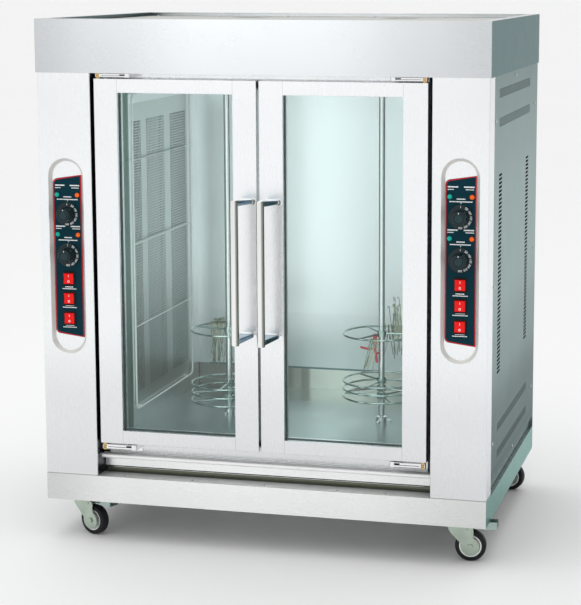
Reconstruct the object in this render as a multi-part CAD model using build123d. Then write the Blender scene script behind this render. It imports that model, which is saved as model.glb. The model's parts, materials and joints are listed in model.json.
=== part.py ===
from build123d import *
import math
import os

os.makedirs("parts", exist_ok=True)

# ---------------------------------------------------------------- driving dimensions (mm)
# Working axes while drawing: x from the cabinet's left side, y from the front face of the
# posts towards the back, z from the floor. Every piece is moved by ORIGIN at the end, so
# that the origin lies under the middle of the whole object's box, on the floor.
W = 1100.0            # cabinet width over the side panels
D = 770.0             # cabinet depth, front face of posts to back panel
ZB = 100.0            # underside of the cabinet = caster height
ZTOP = 1282.0         # top of the header
ZHEAD = 1154.0        # underside of the header band
ZBAND = 166.0         # top of the base band and its ledge
T = 1.5               # sheet thickness
PROUD = 3.0           # how far the header stands proud of posts and sides
POST = 134.0          # width of each front post

DOOR_X0, DOOR_X1 = 143.5, 547.0      # left door; the right one is its mirror image
DOOR_Z0, DOOR_Z1 = 250.0, 1141.0
DOOR_Y0, DOOR_Y1 = 1.0, 39.5
STILE, RAIL = 58.0, 33.0
GLASS_Y0, GLASS_Y1 = 11.0, 16.0
PIVOT_X, PIVOT_Y, PIVOT_R = 152.5, 10.0, 4.0
RUN = 0.05                           # radial running clearance of pins and shafts

CAV_X0, CAV_X1 = 160.0, 940.0        # roasting chamber, inside faces
CAV_Y0, CAV_Y1 = 52.0, 720.0
CAV_Z0, CAV_Z1 = 245.0, 1125.0
HEAT_Y0, HEAT_Y1, HEAT_Z0, HEAT_Z1 = 205.0, 625.0, 300.0, 1057.0
HEAT_DEEP = 42.0

SPIT_X, SPIT_Y = (353.5, 762.5), 385.0   # the two spits
SPIT_R = 8.0
RING_R, WIRE_R = 98.0, 2.5

PANEL_X, PANEL_Z = 67.0, 709.0       # middle of the left control recess
RIGHT_UP = 22.0                      # the right recess sits this much higher
RECESS_W, RECESS_H, RECESS_DEEP, BEVEL = 90.0, 480.0, 10.0, 8.0
KNOB_DZ = (103.0, 3.0)
LAMP_DX, LAMP_DZ = 26.0, (150.0, 53.0)
ROCKER_DZ = (-55.0, -104.0, -153.0)

CASTER_X, CASTER_Y = 75.0, 68.0      # swivel axes from the sides, front and back
SWIVEL = {"front_left": -21.0, "front_right": 4.0, "rear_left": 14.0, "rear_right": -10.0}   # rest angles
TRAIL, TYRE_R, TYRE_W = 28.0, 37.5, 24.0
AXLE_R = 4.0

ORIGIN = (557.5, 354.25, 0.0)        # middle of the whole object's box, in working axes

parts = {}


def B(x0, x1, y0, y1, z0, z1):
    return Pos((x0 + x1) / 2, (y0 + y1) / 2, (z0 + z1) / 2) * Box(x1 - x0, y1 - y0, z1 - z0)


def cyl(p, r, h, axis="z"):
    """Cylinder from p along +axis."""
    c = Cylinder(r, h, align=(Align.CENTER, Align.CENTER, Align.MIN))
    turn = {"z": (0, 0, 0), "x": (0, 90, 0), "y": (-90, 0, 0)}[axis]
    return Pos(*p) * Rot(*turn) * c


def mx(s):
    """Mirror image about the cabinet's middle plane."""
    return mirror(s, about=Plane.YZ.offset(W / 2))


def solids_of(*items):
    out = []
    for it in items:
        if isinstance(it, (list, tuple)):
            out += solids_of(*it)
        else:
            out += list(it.solids())
    return out


def put(name, *items):
    parts[name] = solids_of(*items)


def xz_plate(outer, holes, y0, y1):
    """Plate parallel to XZ from y0 to y1, with outline and holes as lists of (x, z)."""
    def wire(pts):
        return Wire.make_polygon([Vector(p[0], y0, p[1]) for p in pts], close=True)
    f = Face(wire(outer), [wire(h) for h in holes])
    return extrude(f, amount=y1 - y0, dir=(0, 1, 0))


def yz_plate(outer, holes, x0, x1):
    def wire(pts):
        return Wire.make_polygon([Vector(x0, p[0], p[1]) for p in pts], close=True)
    f = Face(wire(outer), [wire(h) for h in holes])
    return extrude(f, amount=x1 - x0, dir=(1, 0, 0))


def xy_plate(outer, holes, z0, z1):
    def wire(pts):
        return Wire.make_polygon([Vector(p[0], p[1], z0) for p in pts], close=True)
    f = Face(wire(outer), [wire(h) for h in holes])
    return extrude(f, amount=z1 - z0, dir=(0, 0, 1))


def rect(u0, u1, v0, v1):
    return [(u0, v0), (u1, v0), (u1, v1), (u0, v1)]


def ngon(u, v, r, n=24):
    return [(u + r * math.cos(2 * math.pi * i / n), v + r * math.sin(2 * math.pi * i / n)) for i in range(n)]


# ---------------------------------------------------------------- welded frame
IN = 9.5                              # set-back of the frame behind the side panels
UNDER = CAV_Z0 - T                    # underside of the chamber floor
XR, YR = W - IN, D - 3.5


def channel(x0, x1, y0, y1, ox, oy):
    """Channel section 60 high and 40 deep; (ox, oy) points to its closed side."""
    c = B(x0, x1, y0, y1, ZB, 160)
    if oy:
        c -= B(x0 - 1, x1 + 1, y0 + (2 if oy < 0 else -1), y1 + (1 if oy < 0 else -2), ZB + 2, 158)
    else:
        c -= B(x0 + (2 if ox < 0 else -1), x1 + (1 if ox < 0 else -2), y0 - 1, y1 + 1, ZB + 2, 158)
    return c


frame = [channel(IN, XR, T, 41.5, 0, -1), channel(IN, XR, YR - 40, YR, 0, 1),
         channel(IN, IN + 40, 41.5, YR - 40, -1, 0), channel(XR - 40, XR, 41.5, YR - 40, 1, 0)]
for s in (
    B(IN + 40, IN + 118, 41.5, 115.5, ZB, ZB + 4),             # caster gussets, front and rear
    B(IN + 40, IN + 118, YR - 114, YR - 40, ZB, ZB + 4),
    B(IN, IN + T, 67, YR, 160, 193),                           # riser behind the shadow gap
    B(IN, IN + 2, 66, 67, 160, ZHEAD) + B(IN + T, IN + 2, 67, 96, 160, ZHEAD) + B(IN, IN + T, 67, 96, 193, ZHEAD) + B(IN + 2, IN + 25, 66, 68, 160, ZHEAD),
    B(IN + T, IN + 2, YR - 30, YR, 160, ZHEAD) + B(IN, IN + T, YR - 30, YR, 193, ZHEAD) + B(IN + 2, IN + 25, YR - 2, YR, 160, ZHEAD),
    B(IN + 25, 136, 66, 68, 160, UNDER),                       # front cross plate beside the tray
    B(134, 136, 68, 705, 174, UNDER) + B(136, 156, 68, 705, 204.3, 206.3),   # drip tray runner
):
    frame += [s, mx(s)]
frame += [B(IN + 2, XR - 2, 705, 707, 160, UNDER)]
put("welded_frame", frame)

# ---------------------------------------------------------------- base band with ledge and skirts
band = B(0, W, 0, T, ZB, ZBAND) + B(0, W, 0, 66, ZBAND - T, ZBAND) + B(137, W - 137, 0, 75, ZBAND - T, ZBAND)
for s in (B(0, T, 0, 66, ZB, ZBAND), B(0, T, 66, D - T, ZB, 161), B(0, IN, 67, D - T, 161 - T, 161)):
    band += s
    band += mx(s)
put("base_band", band)

# ---------------------------------------------------------------- side panels with slots and vent strips
SLOTS_Y = (160.0, 598.0)
holes = []
for yc in SLOTS_Y:
    for i in range(50):
        zc = 904.0 - i * 9.67
        holes.append(rect(yc - 22.5, yc + 22.5, zc - 2.25, zc + 2.25))
for zc in (1101.0, 1029.0, 307.0, 242.0):
    for i in range(62):
        yc = 141.0 + i * 8.0
        holes.append(rect(yc - 1.9, yc + 1.9, zc - 11.5, zc + 11.5))
side = yz_plate(rect(67, D - T, 191, ZHEAD), holes, 0, T)
side += B(T, IN, 67, 68.5, 191, ZHEAD) + B(T, IN, D - T - 1.5, D - T, 191, ZHEAD) + B(T, IN, 68.5, D - T - 1.5, 193, 194.5)
put("side_panel_left", side)
put("side_panel_right", mx(side))

# ---------------------------------------------------------------- rear panel
GLAND_X, GLAND_Z = 985.0, 262.0
STUD_X, STUD_Z = 935.0, 262.0
holes = [ngon(GLAND_X, GLAND_Z, 10.2, 32), ngon(STUD_X, STUD_Z, 3.05, 24)]
for xc in (250.0, 420.0, 680.0, 850.0):
    for i in range(12):
        zc = 1085.0 - i * 14
        holes.append(rect(xc - 55, xc + 55, zc - 2.5, zc + 2.5))
for xc in (250.0, 420.0, 680.0, 850.0):
    for i in range(8):
        zc = 420.0 - i * 14
        holes.append(rect(xc - 55, xc + 55, zc - 2.5, zc + 2.5))
rear = xz_plate(rect(0, W, ZB + 2, ZHEAD), holes, D - T, D)
put("rear_panel", rear)

# ---------------------------------------------------------------- header band and top cover
P = PROUD
hb = B(-P, W + P, -P, D, ZHEAD, ZTOP) - B(-P + T, W + P - T, -P + T, D - T, ZHEAD + T, ZTOP - T)
hb -= B(22, W - 22, 22, D - 22, ZTOP - T - 1, ZTOP + 1)
hb -= B(IN, W - IN, 50, D - 12, ZHEAD - 1, ZHEAD + T + 1)
hb -= B(IN, 133, 12, 51, ZHEAD - 1, ZHEAD + T + 1)
hb -= B(W - 133, W - IN, 12, 51, ZHEAD - 1, ZHEAD + T + 1)
vedges = [e for e in hb.edges().filter_by(Axis.Z) if e.length > 120 and (abs(e.center().Y + P) < 0.01)]
hb = fillet(vedges, 1.4)
put("header_band", hb)

holes = []
for xc in SPIT_X:
    for i in range(14):
        holes.append(rect(xc - 39 + i * 6 - 1.5, xc - 39 + i * 6 + 1.5, 560, 610))
        holes.append(rect(xc - 39 + i * 6 - 1.5, xc - 39 + i * 6 + 1.5, 620, 670))
cover = xy_plate(rect(-P + T, W + P - T, -P + T, D - T), holes, 1271, 1272.5)
cover += B(-P + T, -P + T + 1.5, -P + T, D - T, 1259, 1271) + B(W + P - T - 1.5, W + P - T, -P + T, D - T, 1259, 1271)
put("top_cover", cover)

# ---------------------------------------------------------------- front posts with pressed recess


def stadium(w, h):
    return SlotOverall(h, w, rotation=90)


def frustum(w0, h0, y0, w1, h1, y1):
    """Stadium-shaped tapered solid about the panel's middle, from y0 to y1."""
    a = Plane(origin=(PANEL_X, y0, PANEL_Z), x_dir=(1, 0, 0), z_dir=(0, -1, 0)) * stadium(w0, h0)
    b = Plane(origin=(PANEL_X, y1, PANEL_Z), x_dir=(1, 0, 0), z_dir=(0, -1, 0)) * stadium(w1, h1)
    return loft([a, b])


prof = Polyline((0, 0), (POST, 0), (POST, 50), (POST - T, 50), (POST - T, T), (T, T), (T, 66), (0, 66), (0, 0))
sk = make_face(prof)
sk = fillet([v for v in sk.vertices() if v.Y < 0.01], 2.2)
sk = fillet([v for v in sk.vertices() if abs(v.Y - T) < 0.01 and (abs(v.X - T) < 0.01 or abs(v.X - POST + T) < 0.01)], 0.8)
post = Pos(0, 0, ZBAND) * extrude(sk, amount=ZHEAD - ZBAND)
inner = frustum(RECESS_W, RECESS_H, 0, RECESS_W - 2 * BEVEL, RECESS_H - 2 * BEVEL, RECESS_DEEP)
k = T / RECESS_DEEP
outer = frustum(RECESS_W + 2 * T, RECESS_H + 2 * T, 0, RECESS_W + 2 * T - 2 * BEVEL * (1 + k), RECESS_H + 2 * T - 2 * BEVEL * (1 + k), RECESS_DEEP + T)
post = post + outer
front_tip = frustum(RECESS_W + 2 * BEVEL * 0.2, RECESS_H + 2 * BEVEL * 0.2, -2, RECESS_W, RECESS_H, 0)
post = post - inner - front_tip
cuts = []
for dz in KNOB_DZ:
    cuts.append(cyl((PANEL_X, 5, PANEL_Z + dz), 5.0, 10, "y"))
for dz in LAMP_DZ:
    for sx in (-1, 1):
        cuts.append(cyl((PANEL_X + sx * LAMP_DX, 5, PANEL_Z + dz), 4.2, 10, "y"))
for dz in ROCKER_DZ:
    cuts.append(B(PANEL_X - 13.6, PANEL_X + 13.6, 5, 15, PANEL_Z + dz - 15.6, PANEL_Z + dz + 15.6))
post = post - cuts
SHIFT_R = W - 2 * PANEL_X            # the recess is the same on both posts, not mirrored
post_r_blank = mx(Pos(0, 0, ZBAND) * extrude(sk, amount=ZHEAD - ZBAND))
TO_RIGHT = Pos(SHIFT_R, 0, RIGHT_UP)
post_r = (post_r_blank + TO_RIGHT * outer) - TO_RIGHT * inner - TO_RIGHT * front_tip
post_r = post_r - [TO_RIGHT * c for c in cuts]
put("front_post_left", post)
put("front_post_right", post_r)

# ---------------------------------------------------------------- door surround, gasket
OPEN_X0, OPEN_Z0, OPEN_Z1 = 162.0, 268.0, 1118.0
surround = B(POST - T, W - POST + T, 50, 52, 212, ZHEAD) - B(OPEN_X0, W - OPEN_X0, 49, 53, OPEN_Z0, OPEN_Z1)
put("door_surround", surround)
gk = B(146, W - 146, 42, 50, 253, 1134) - B(158, W - 158, 41, 51, 265, 1122)
gk = fillet([e for e in gk.edges().filter_by(Axis.Y) if abs(abs(e.center().X - W / 2) - (W / 2 - 146)) < 0.1], 8)
put("door_gasket", gk)

# ---------------------------------------------------------------- roasting chamber
side_open = rect(HEAT_Y0, HEAT_Y1, HEAT_Z0, HEAT_Z1)
wall = yz_plate(rect(CAV_Y0, CAV_Y1, CAV_Z0, CAV_Z1), [side_open], CAV_X0 - T, CAV_X0)
liner = wall + mx(wall) + B(CAV_X0 - T, CAV_X1 + T, CAV_Y1 - T, CAV_Y1, CAV_Z0, CAV_Z1)
baffle = B(195, W - 195, 707, 708.2, 303, 1112) + B(230, 245, 708.2, CAV_Y1 - T, 320, 1080) + B(W - 245, W - 230, 708.2, CAV_Y1 - T, 320, 1080)
put("cavity_liner", liner, baffle)

holes = []
for i in range(6):
    xc = 225.0 + i * 130
    holes.append(rect(xc - 45, xc + 45, 60, 72))
floor = xy_plate(rect(CAV_X0, CAV_X1, CAV_Y0, CAV_Y1 - T), holes, CAV_Z0 - T, CAV_Z0)
floor += B(CAV_X0, CAV_X1, CAV_Y0, CAV_Y0 + T, CAV_Z0, OPEN_Z0)
put("cavity_floor", floor)

sxs = SPIT_X
ceiling = xy_plate(rect(CAV_X0 - T, CAV_X1 + T, CAV_Y0, CAV_Y1), [ngon(x, SPIT_Y, 15.5, 36) for x in sxs], CAV_Z1, CAV_Z1 + T)
put("cavity_ceiling", ceiling)

# heater trays let into both side walls: reflector back and four flanks, seam-welded sheets
back_x = CAV_X0 - HEAT_DEEP
pan = [B(back_x, back_x + 1, HEAT_Y0, HEAT_Y1, HEAT_Z0, HEAT_Z1),
       B(back_x + 1, CAV_X0 - T, HEAT_Y0, HEAT_Y0 + 1, HEAT_Z0, HEAT_Z1), B(back_x + 1, CAV_X0 - T, HEAT_Y1 - 1, HEAT_Y1, HEAT_Z0, HEAT_Z1),
       B(back_x + 1, CAV_X0 - T, HEAT_Y0 + 1, HEAT_Y1 - 1, HEAT_Z0, HEAT_Z0 + 1), B(back_x + 1, CAV_X0 - T, HEAT_Y0 + 1, HEAT_Y1 - 1, HEAT_Z1 - 1, HEAT_Z1)]
put("heater_reflectors", pan, [mx(s) for s in pan])

# milky quartz heating tubes with ceramic ends
tubes = []
TUBE_Y = (303.0, 487.0, 560.0)
for ty in TUBE_Y:
    tx = CAV_X0 - 22
    tubes.append(cyl((tx, ty, HEAT_Z0 + 26), 7.0, HEAT_Z1 - HEAT_Z0 - 52))
    tubes.append(cyl((tx, ty, HEAT_Z0 + 1), 10.0, 25))
    tubes.append(cyl((tx, ty, HEAT_Z1 - 26), 10.0, 25))
put("heating_elements", tubes, [mx(t) for t in tubes])

# guards: a wire frame with three cross wires, in front of a punched sheet on the wall
GY0, GY1, GZ0, GZ1 = 188.0, 632.0, 291.0, 1092.0
GX = CAV_X0 + 9.0
path = Plane(origin=(GX, (GY0 + GY1) / 2, (GZ0 + GZ1) / 2), x_dir=(0, 1, 0), z_dir=(1, 0, 0)) * Wire(RectangleRounded(GY1 - GY0, GZ1 - GZ0, 16).face().outer_wire().edges())
start = path.edges()[0]
guard = sweep(Plane(origin=start @ 0, z_dir=start % 0) * Circle(2.5), path=path)
for zc in (503.0, 715.0, 927.0):
    guard += cyl((GX, GY0, zc), 2.0, GY1 - GY0, "y")
for yc in (GY0 + 40, GY1 - 40):
    for zc in (GZ0 + 0.5, GZ1 - 0.5):
        guard += cyl((CAV_X0, yc, zc), 2.5, GX - CAV_X0, "x")
holes = []
for i in range(36):
    zc = 341.0 + i * 19
    holes.append(rect(215, 251, zc - 3, zc + 3))
for i in range(56):
    zc = 341.0 + i * 12
    holes.append(rect(312, 428, zc - 2.5, zc + 2.5))
    holes.append(rect(478, 612, zc - 2.5, zc + 2.5))
SHEET = (HEAT_Y0 - 9, HEAT_Y1 + 5, HEAT_Z0 - 1, HEAT_Z1 + 10)
sheet = yz_plate(rect(*SHEET), holes, CAV_X0, CAV_X0 + 1)
guard = [guard, sheet]
put("heater_guards", guard, [mx(g) for g in guard])

# insulation between chamber and cabinet
top_slab = B(CAV_X0, CAV_X1, 56, 716, CAV_Z1 + T, 1151) - [cyl((x, SPIT_Y, 1120), 22, 40) for x in sxs]
slab_l = B(98, back_x - 0.5, 80, 700, 240, 1120)
put("insulation_slabs", top_slab, slab_l, mx(slab_l), B(CAV_X0, CAV_X1, CAV_Y1 + 0.5, 758, 240, 1120))

# ---------------------------------------------------------------- spit drive and bearings
motors, bearings = [], []
for x in sxs:
    rail = B(x - 52, x + 52, 10, D - 3, ZHEAD + T, ZHEAD + T + 2) - cyl((x, SPIT_Y, ZHEAD), 12, 10)
    zg = ZHEAD + T + 2
    box = B(x - 45, x + 45, SPIT_Y - 32, SPIT_Y + 52, zg, zg + 40)
    box = fillet(box.edges().filter_by(Axis.Z), 6)
    box -= cyl((x, SPIT_Y, zg - 1), 5 + RUN, 32)
    can = cyl((x, SPIT_Y + 14, zg + 40), 33, 52) + cyl((x, SPIT_Y + 14, zg + 92), 12, 6)
    can = fillet([e for e in can.edges() if e.geom_type == GeomType.CIRCLE and abs(e.center().Z - (zg + 92)) < 0.1 and e.radius > 30], 4)
    motors += [rail, box, can]
    up = cyl((x, SPIT_Y, CAV_Z1 - 4), 28, 4) + cyl((x, SPIT_Y, CAV_Z1 - 14), 14.5, 19)
    up -= cyl((x, SPIT_Y, CAV_Z1 - 20), SPIT_R + 0.1, 40)
    bearings.append(up)
    hub = cyl((x, SPIT_Y, CAV_Z0), 13, 15) + cyl((x, SPIT_Y, CAV_Z0 + 15), 4, 14)
    for a in (15, 135, 255):
        ca, sa = math.cos(math.radians(a)), math.sin(math.radians(a))
        leg = Pos(x, SPIT_Y, CAV_Z0) * Rot(0, 0, a) * B(8, 20, -3.5, 3.5, 0, 7)
        hub += leg + cyl((x + 20 * ca, SPIT_Y + 20 * sa, CAV_Z0), 5, 5)
    bearings.append(hub)
put("gear_motors", motors)
put("spindle_bearings", bearings)

# ---------------------------------------------------------------- spits with rings and hooks
SPIT_Z0 = CAV_Z0 + 17.0


def spit(x):
    shaft = cyl((x, SPIT_Y, SPIT_Z0), SPIT_R, 1142 - SPIT_Z0) - cyl((x, SPIT_Y, SPIT_Z0 - 1), 4 + RUN, 15)
    shaft = chamfer([e for e in shaft.edges() if e.geom_type == GeomType.CIRCLE and e.radius > 7 and e.center().Z < 300], 1.5)
    dog = cyl((x, SPIT_Y, 1132.5), 13, 19) - cyl((x, SPIT_Y, 1132), SPIT_R, 10) + cyl((x, SPIT_Y, 1151.5), 5, 34)
    return [shaft, dog]


def ring_solid(x, z, a0, hub_h=17.0):
    r = Pos(x, SPIT_Y, z) * Torus(RING_R, WIRE_R)
    for i in range(3):
        a = a0 + 120 * i
        s = Pos(x, SPIT_Y, z) * Rot(0, 0, a) * Rot(0, 90, 0) * Pos(0, 0, 9) * Cylinder(WIRE_R, RING_R - 9, align=(Align.CENTER, Align.CENTER, Align.MIN))
        r += s
    r += cyl((x, SPIT_Y, z - hub_h / 2), 12, hub_h)
    r -= cyl((x, SPIT_Y, z - hub_h), SPIT_R, 2 * hub_h)
    return r


def hook(x, z, ang, lean, length, up):
    """One wire hook hung over the ring at an angle, as a bent rod of 2.4 mm."""
    a = math.radians(ang)
    rad = RING_R
    er = Vector(math.cos(a), math.sin(a), 0)
    et = Vector(-math.sin(a), math.cos(a), 0)
    c = Vector(x, SPIT_Y, z)
    o = WIRE_R + 1.2 + 0.15
    p = [c + er * (rad - o) + Vector(0, 0, -length * 0.35) + et * lean,
         c + er * (rad - o) + Vector(0, 0, o),
         c + er * (rad + o) + Vector(0, 0, o),
         c + er * (rad + o + 2) + Vector(0, 0, -length) + et * (lean * 2.2)]
    path = FilletPolyline(*p, radius=1.6)
    e0 = path.edges()[0]
    return sweep(Plane(origin=e0 @ 0, z_dir=e0 % 0) * Circle(1.2), path=path)


RINGS_L = ((470, 170), (329, 152), (306, 205), (285, 95))
RINGS_R = ((478, 125), (356, 140), (336, 98), (316, 178))
for name, x, rings, hooks in (
    ("left", sxs[0], RINGS_L, ((104, 3), (110, -5), (116, 6), (122, -2), (128, 4), (134, -6))),
    ("right", sxs[1], RINGS_R, ((52, 4), (58, -4), (64, 6), (70, -3), (76, 5), (232, -4))),
):
    put("spindle_" + name, spit(x))
    rs = [ring_solid(x, z, a) for z, a in rings]
    hs = [hook(x, rings[0][0], a, lean, 96 + 6 * (i % 3), 20) for i, (a, lean) in enumerate(hooks)]
    put("basket_rings_" + name, rs, hs)

# ---------------------------------------------------------------- control panels


def at_panel(sol, side):
    return sol if side == "left" else TO_RIGHT * sol


ov = make_face(Polyline((-36.5, 188.5), (36.5, 199.5), (36.5, -199.5), (-36.5, -190.5), (-36.5, 188.5)))
ov = fillet([v for v in ov.vertices() if v.X < 0], 12)
ov = Plane(origin=(PANEL_X, RECESS_DEEP, PANEL_Z), x_dir=(1, 0, 0), z_dir=(0, -1, 0)) * ov
overlay = extrude(ov, amount=1.0, dir=(0, -1, 0)) - cuts
put("control_overlays", overlay, at_panel(overlay, "right"))
YF = RECESS_DEEP - 1.0                                 # front face of the overlay

lamps, therm, housings = [], [], []
for side_name in ("left", "right"):
    for dz in LAMP_DZ:
        for sx in (-1, 1):
            px, pz = PANEL_X + sx * LAMP_DX, PANEL_Z + dz
            lamp = cyl((px, YF - 2.0, pz), 5.2, 2.0, "y") + cyl((px, YF - 2.0, pz), 4.0, 24, "y")
            dome = Pos(px, YF - 2.0, pz) * Sphere(5.0)
            dome = dome & B(px - 6, px + 6, YF - 8, YF - 2.0, pz - 6, pz + 6)
            lamps.append(at_panel(lamp + dome, side_name))
    for dz in KNOB_DZ:
        pz = PANEL_Z + dz
        body = B(PANEL_X - 22, PANEL_X + 22, RECESS_DEEP + T, RECESS_DEEP + T + 27, pz - 22, pz + 22)
        body = fillet(body.edges().filter_by(Axis.Y), 4)
        body += cyl((PANEL_X, -8, pz), 3.0, RECESS_DEEP + T + 9, "y")
        therm.append(at_panel(body, side_name))
    for dz in ROCKER_DZ:
        pz = PANEL_Z + dz
        h = B(PANEL_X - 15.5, PANEL_X + 15.5, YF - 3, YF, pz - 17.5, pz + 17.5)
        h = fillet(h.edges().filter_by(Axis.Y), 2.0)
        h = chamfer(h.faces().sort_by(Axis.Y)[0].outer_wire().edges(), 1.0)
        h += B(PANEL_X - 13.4, PANEL_X + 13.4, YF, YF + 27, pz - 15.4, pz + 15.4)
        h -= B(PANEL_X - 12.5, PANEL_X + 12.5, YF - 4, YF + 20, pz - 14.5, pz + 14.5)
        for tz in (-9, 0, 9):
            h += B(PANEL_X - 3, PANEL_X + 3, YF + 27, YF + 36, pz + tz - 0.5, pz + tz + 0.5)
        h -= cyl((PANEL_X - 13.2, YF + 5, pz), 1.5 + RUN, 26.4, "x")
        housings.append(at_panel(h, side_name))
put("indicator_lamps", lamps)
put("thermostats", therm)
put("switch_housings", housings)

names_k = ("upper", "lower")
for side_name in ("left", "right"):
    for i, dz in enumerate(KNOB_DZ):
        pz = PANEL_Z + dz
        skirt = cyl((PANEL_X, YF - 5.0, pz), 29.5, 4.2, "y")
        skirt = chamfer([e for e in skirt.edges() if e.geom_type == GeomType.CIRCLE and abs(e.center().Y - (YF - 5)) < 0.01], 2.0)
        body = Pos(PANEL_X, YF - 5.0, pz) * Rot(90, 0, 0) * Cone(18.5, 16.5, 27, align=(Align.CENTER, Align.CENTER, Align.MIN))
        body = fillet([e for e in body.edges() if e.geom_type == GeomType.CIRCLE and e.center().Y < -20], 2.0)
        kn = skirt + body
        flutes = []
        for j in range(18):
            a = math.radians(20 * j + 10)
            flutes.append(cyl((PANEL_X + 19.4 * math.cos(a), -30, pz + 19.4 * math.sin(a)), 2.0, 30 + YF - 8, "y"))
        kn -= flutes
        kn -= cyl((PANEL_X, -9.0, pz), 3 + RUN, 20, "y")
        kn -= cyl((PANEL_X, -24, pz), 10.0, 1.0, "y")
        put("knob_%s_%s" % (side_name, names_k[i]), at_panel(kn, side_name))
    for i, dz in enumerate(ROCKER_DZ):
        pz = PANEL_Z + dz
        # two-faced rocker: the section across it is a shallow V, the pivot lies behind
        hz = 12.6
        yv = YF - 4.2
        sec = Polyline((yv, 0), (yv - 2.2, hz), (YF + 3, hz), (YF + 9, 4), (YF + 9, -4), (YF + 3, -hz), (yv - 2.2, -hz), (yv, 0))
        f = make_face(sec)
        rk = extrude(Plane(origin=(PANEL_X - 12.1, 0, pz), x_dir=(0, 1, 0), z_dir=(1, 0, 0)) * f, amount=24.2)
        rk += cyl((PANEL_X - 13.0, YF + 5, pz), 1.5, 26.0, "x")
        put("rocker_%s_%d" % (side_name, i + 1), at_panel(rk, side_name))

plate = B(33, 34.5, 68, 268, 420, 580)
blocks = [plate, B(34.5, 80, 90, 135, 450, 535), B(34.5, 70, 150, 170, 440, 560), B(34.5, 58, 190, 250, 460, 500)]
put("terminal_blocks", blocks, [mx(b) for b in blocks])

# ---------------------------------------------------------------- inlet gland and bonding stud at the back
hexn = Plane(origin=(GLAND_X, D, GLAND_Z), x_dir=(1, 0, 0), z_dir=(0, 1, 0)) * RegularPolygon(16.5, 6)
gl = extrude(hexn, amount=7, dir=(0, 1, 0)) + cyl((GLAND_X, D + 7, GLAND_Z), 14, 10, "y")
gl += Pos(GLAND_X, D + 17, GLAND_Z) * Rot(-90, 0, 0) * Cone(14, 9.5, 8, align=(Align.CENTER, Align.CENTER, Align.MIN))
gl += cyl((GLAND_X, D - 14, GLAND_Z), 10, 14, "y")
nut = Plane(origin=(GLAND_X, D - T, GLAND_Z), x_dir=(1, 0, 0), z_dir=(0, 1, 0)) * RegularPolygon(16, 6)
gl += extrude(nut, amount=5, dir=(0, -1, 0))
gl -= cyl((GLAND_X, D - 20, GLAND_Z), 6.5, 60, "y")
stud = cyl((STUD_X, D - 12, STUD_Z), 3, 34, "y")
stud += extrude(Plane(origin=(STUD_X, D, STUD_Z), x_dir=(1, 0, 0), z_dir=(0, 1, 0)) * RegularPolygon(5.8, 6), amount=5, dir=(0, 1, 0))
stud += extrude(Plane(origin=(STUD_X, D - T, STUD_Z), x_dir=(1, 0, 0), z_dir=(0, 1, 0)) * RegularPolygon(5.8, 6), amount=5, dir=(0, -1, 0))
put("cable_gland", gl, stud)

# ---------------------------------------------------------------- door hinges: chrome pivot arms and brass pins
arms = []
for sx in (0, 1):
    for z0, z1, zp0, zp1, zw0, zw1 in ((234, 247, 233, 262, 222, 247), (1144, 1153, 1128, 1153.5, 1144, 1153)):
        a = B(147, 222, 5, 18, z0, z1)
        a += B(206, 234, 5, 46, z0, z1)
        a += B(184, 234, 46, 50, zw0, zw1)
        a = fillet([e for e in a.edges().filter_by(Axis.Z) if e.center().Y < 6 and e.center().X > 230], 5)
        a -= cyl((PIVOT_X, PIVOT_Y, z0 - 5), 6.5, 40)
        bush = cyl((PIVOT_X, PIVOT_Y, zp0 if z0 < 600 else z0), 6.5, (249.6 - zp0) if z0 < 600 else (z1 - z0 + 0.5))
        if z0 > 600:
            bush += cyl((PIVOT_X, PIVOT_Y, DOOR_Z1 + 0.4), 6.5, z0 - DOOR_Z1 - 0.4)
        bush += cyl((PIVOT_X, PIVOT_Y, zp0), PIVOT_R, zp1 - zp0)
        arms += [mx(a), mx(bush)] if sx else [a, bush]
put("hinge_brackets", arms)

# ---------------------------------------------------------------- doors


def door_frame():
    x0, x1, z0, z1 = DOOR_X0, DOOR_X1, DOOR_Z0, DOOR_Z1
    y0, y1 = DOOR_Y0, DOOR_Y1
    wx0, wx1, wz0, wz1 = x0 + STILE, x1 - STILE, z0 + RAIL, z1 - RAIL
    outer = B(x0, x1, y0, y1 - T, z0, z1)
    outer = fillet([e for e in outer.edges() if abs(e.center().Y - y0) < 0.01], 1.2)
    outer -= B(x0 + T, x1 - T, y0 + T, y1, z0 + T, z1 - T)
    lip = B(wx0 - T, wx1 + T, y0 + 0.5, GLASS_Y0, wz0 - T, wz1 + T)
    outer = (outer + lip) - B(wx0, wx1, y0 - 1, GLASS_Y0 + 1, wz0, wz1)
    inner = B(x0, x1, y1 - T, y1, z0, z1) + B(wx0 - T, wx1 + T, GLASS_Y1, y1 - T, wz0 - T, wz1 + T)
    inner -= B(wx0, wx1, GLASS_Y1 - 1, y1 + 1, wz0, wz1)
    blocks = [B(x0 + T, x0 + 24, y0 + T, y0 + 22, z0 + T, z0 + 22), B(x0 + T, x0 + 24, y0 + T, y0 + 22, z1 - 22, z1 - T)]
    bores = [cyl((PIVOT_X, PIVOT_Y, z0 - 1), PIVOT_R + RUN, 18), cyl((PIVOT_X, PIVOT_Y, z1 - 17), PIVOT_R + RUN, 18)]
    outer -= bores
    blocks = [b - bores for b in blocks]
    return [outer, inner] + blocks


fl = door_frame()
put("door_frame_left", fl)
put("door_frame_right", [mx(s) for s in fl])
wx0, wx1, wz0, wz1 = DOOR_X0 + STILE, DOOR_X1 - STILE, DOOR_Z0 + RAIL, DOOR_Z1 - RAIL
pane = B(wx0 - 10, wx1 + 10, GLASS_Y0, GLASS_Y1, wz0 - 10, wz1 + 10)
put("door_glass_left", pane)
put("door_glass_right", mx(pane))


# bar handle on two outward-flaring wings; both doors carry the same handle, not mirrored
BAR_OUT, BAR_R, BAR_Z0, BAR_Z1 = 78.0, 9.5, 525.0, 869.0
GRIP_Z = (537.0, 857.0)


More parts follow.
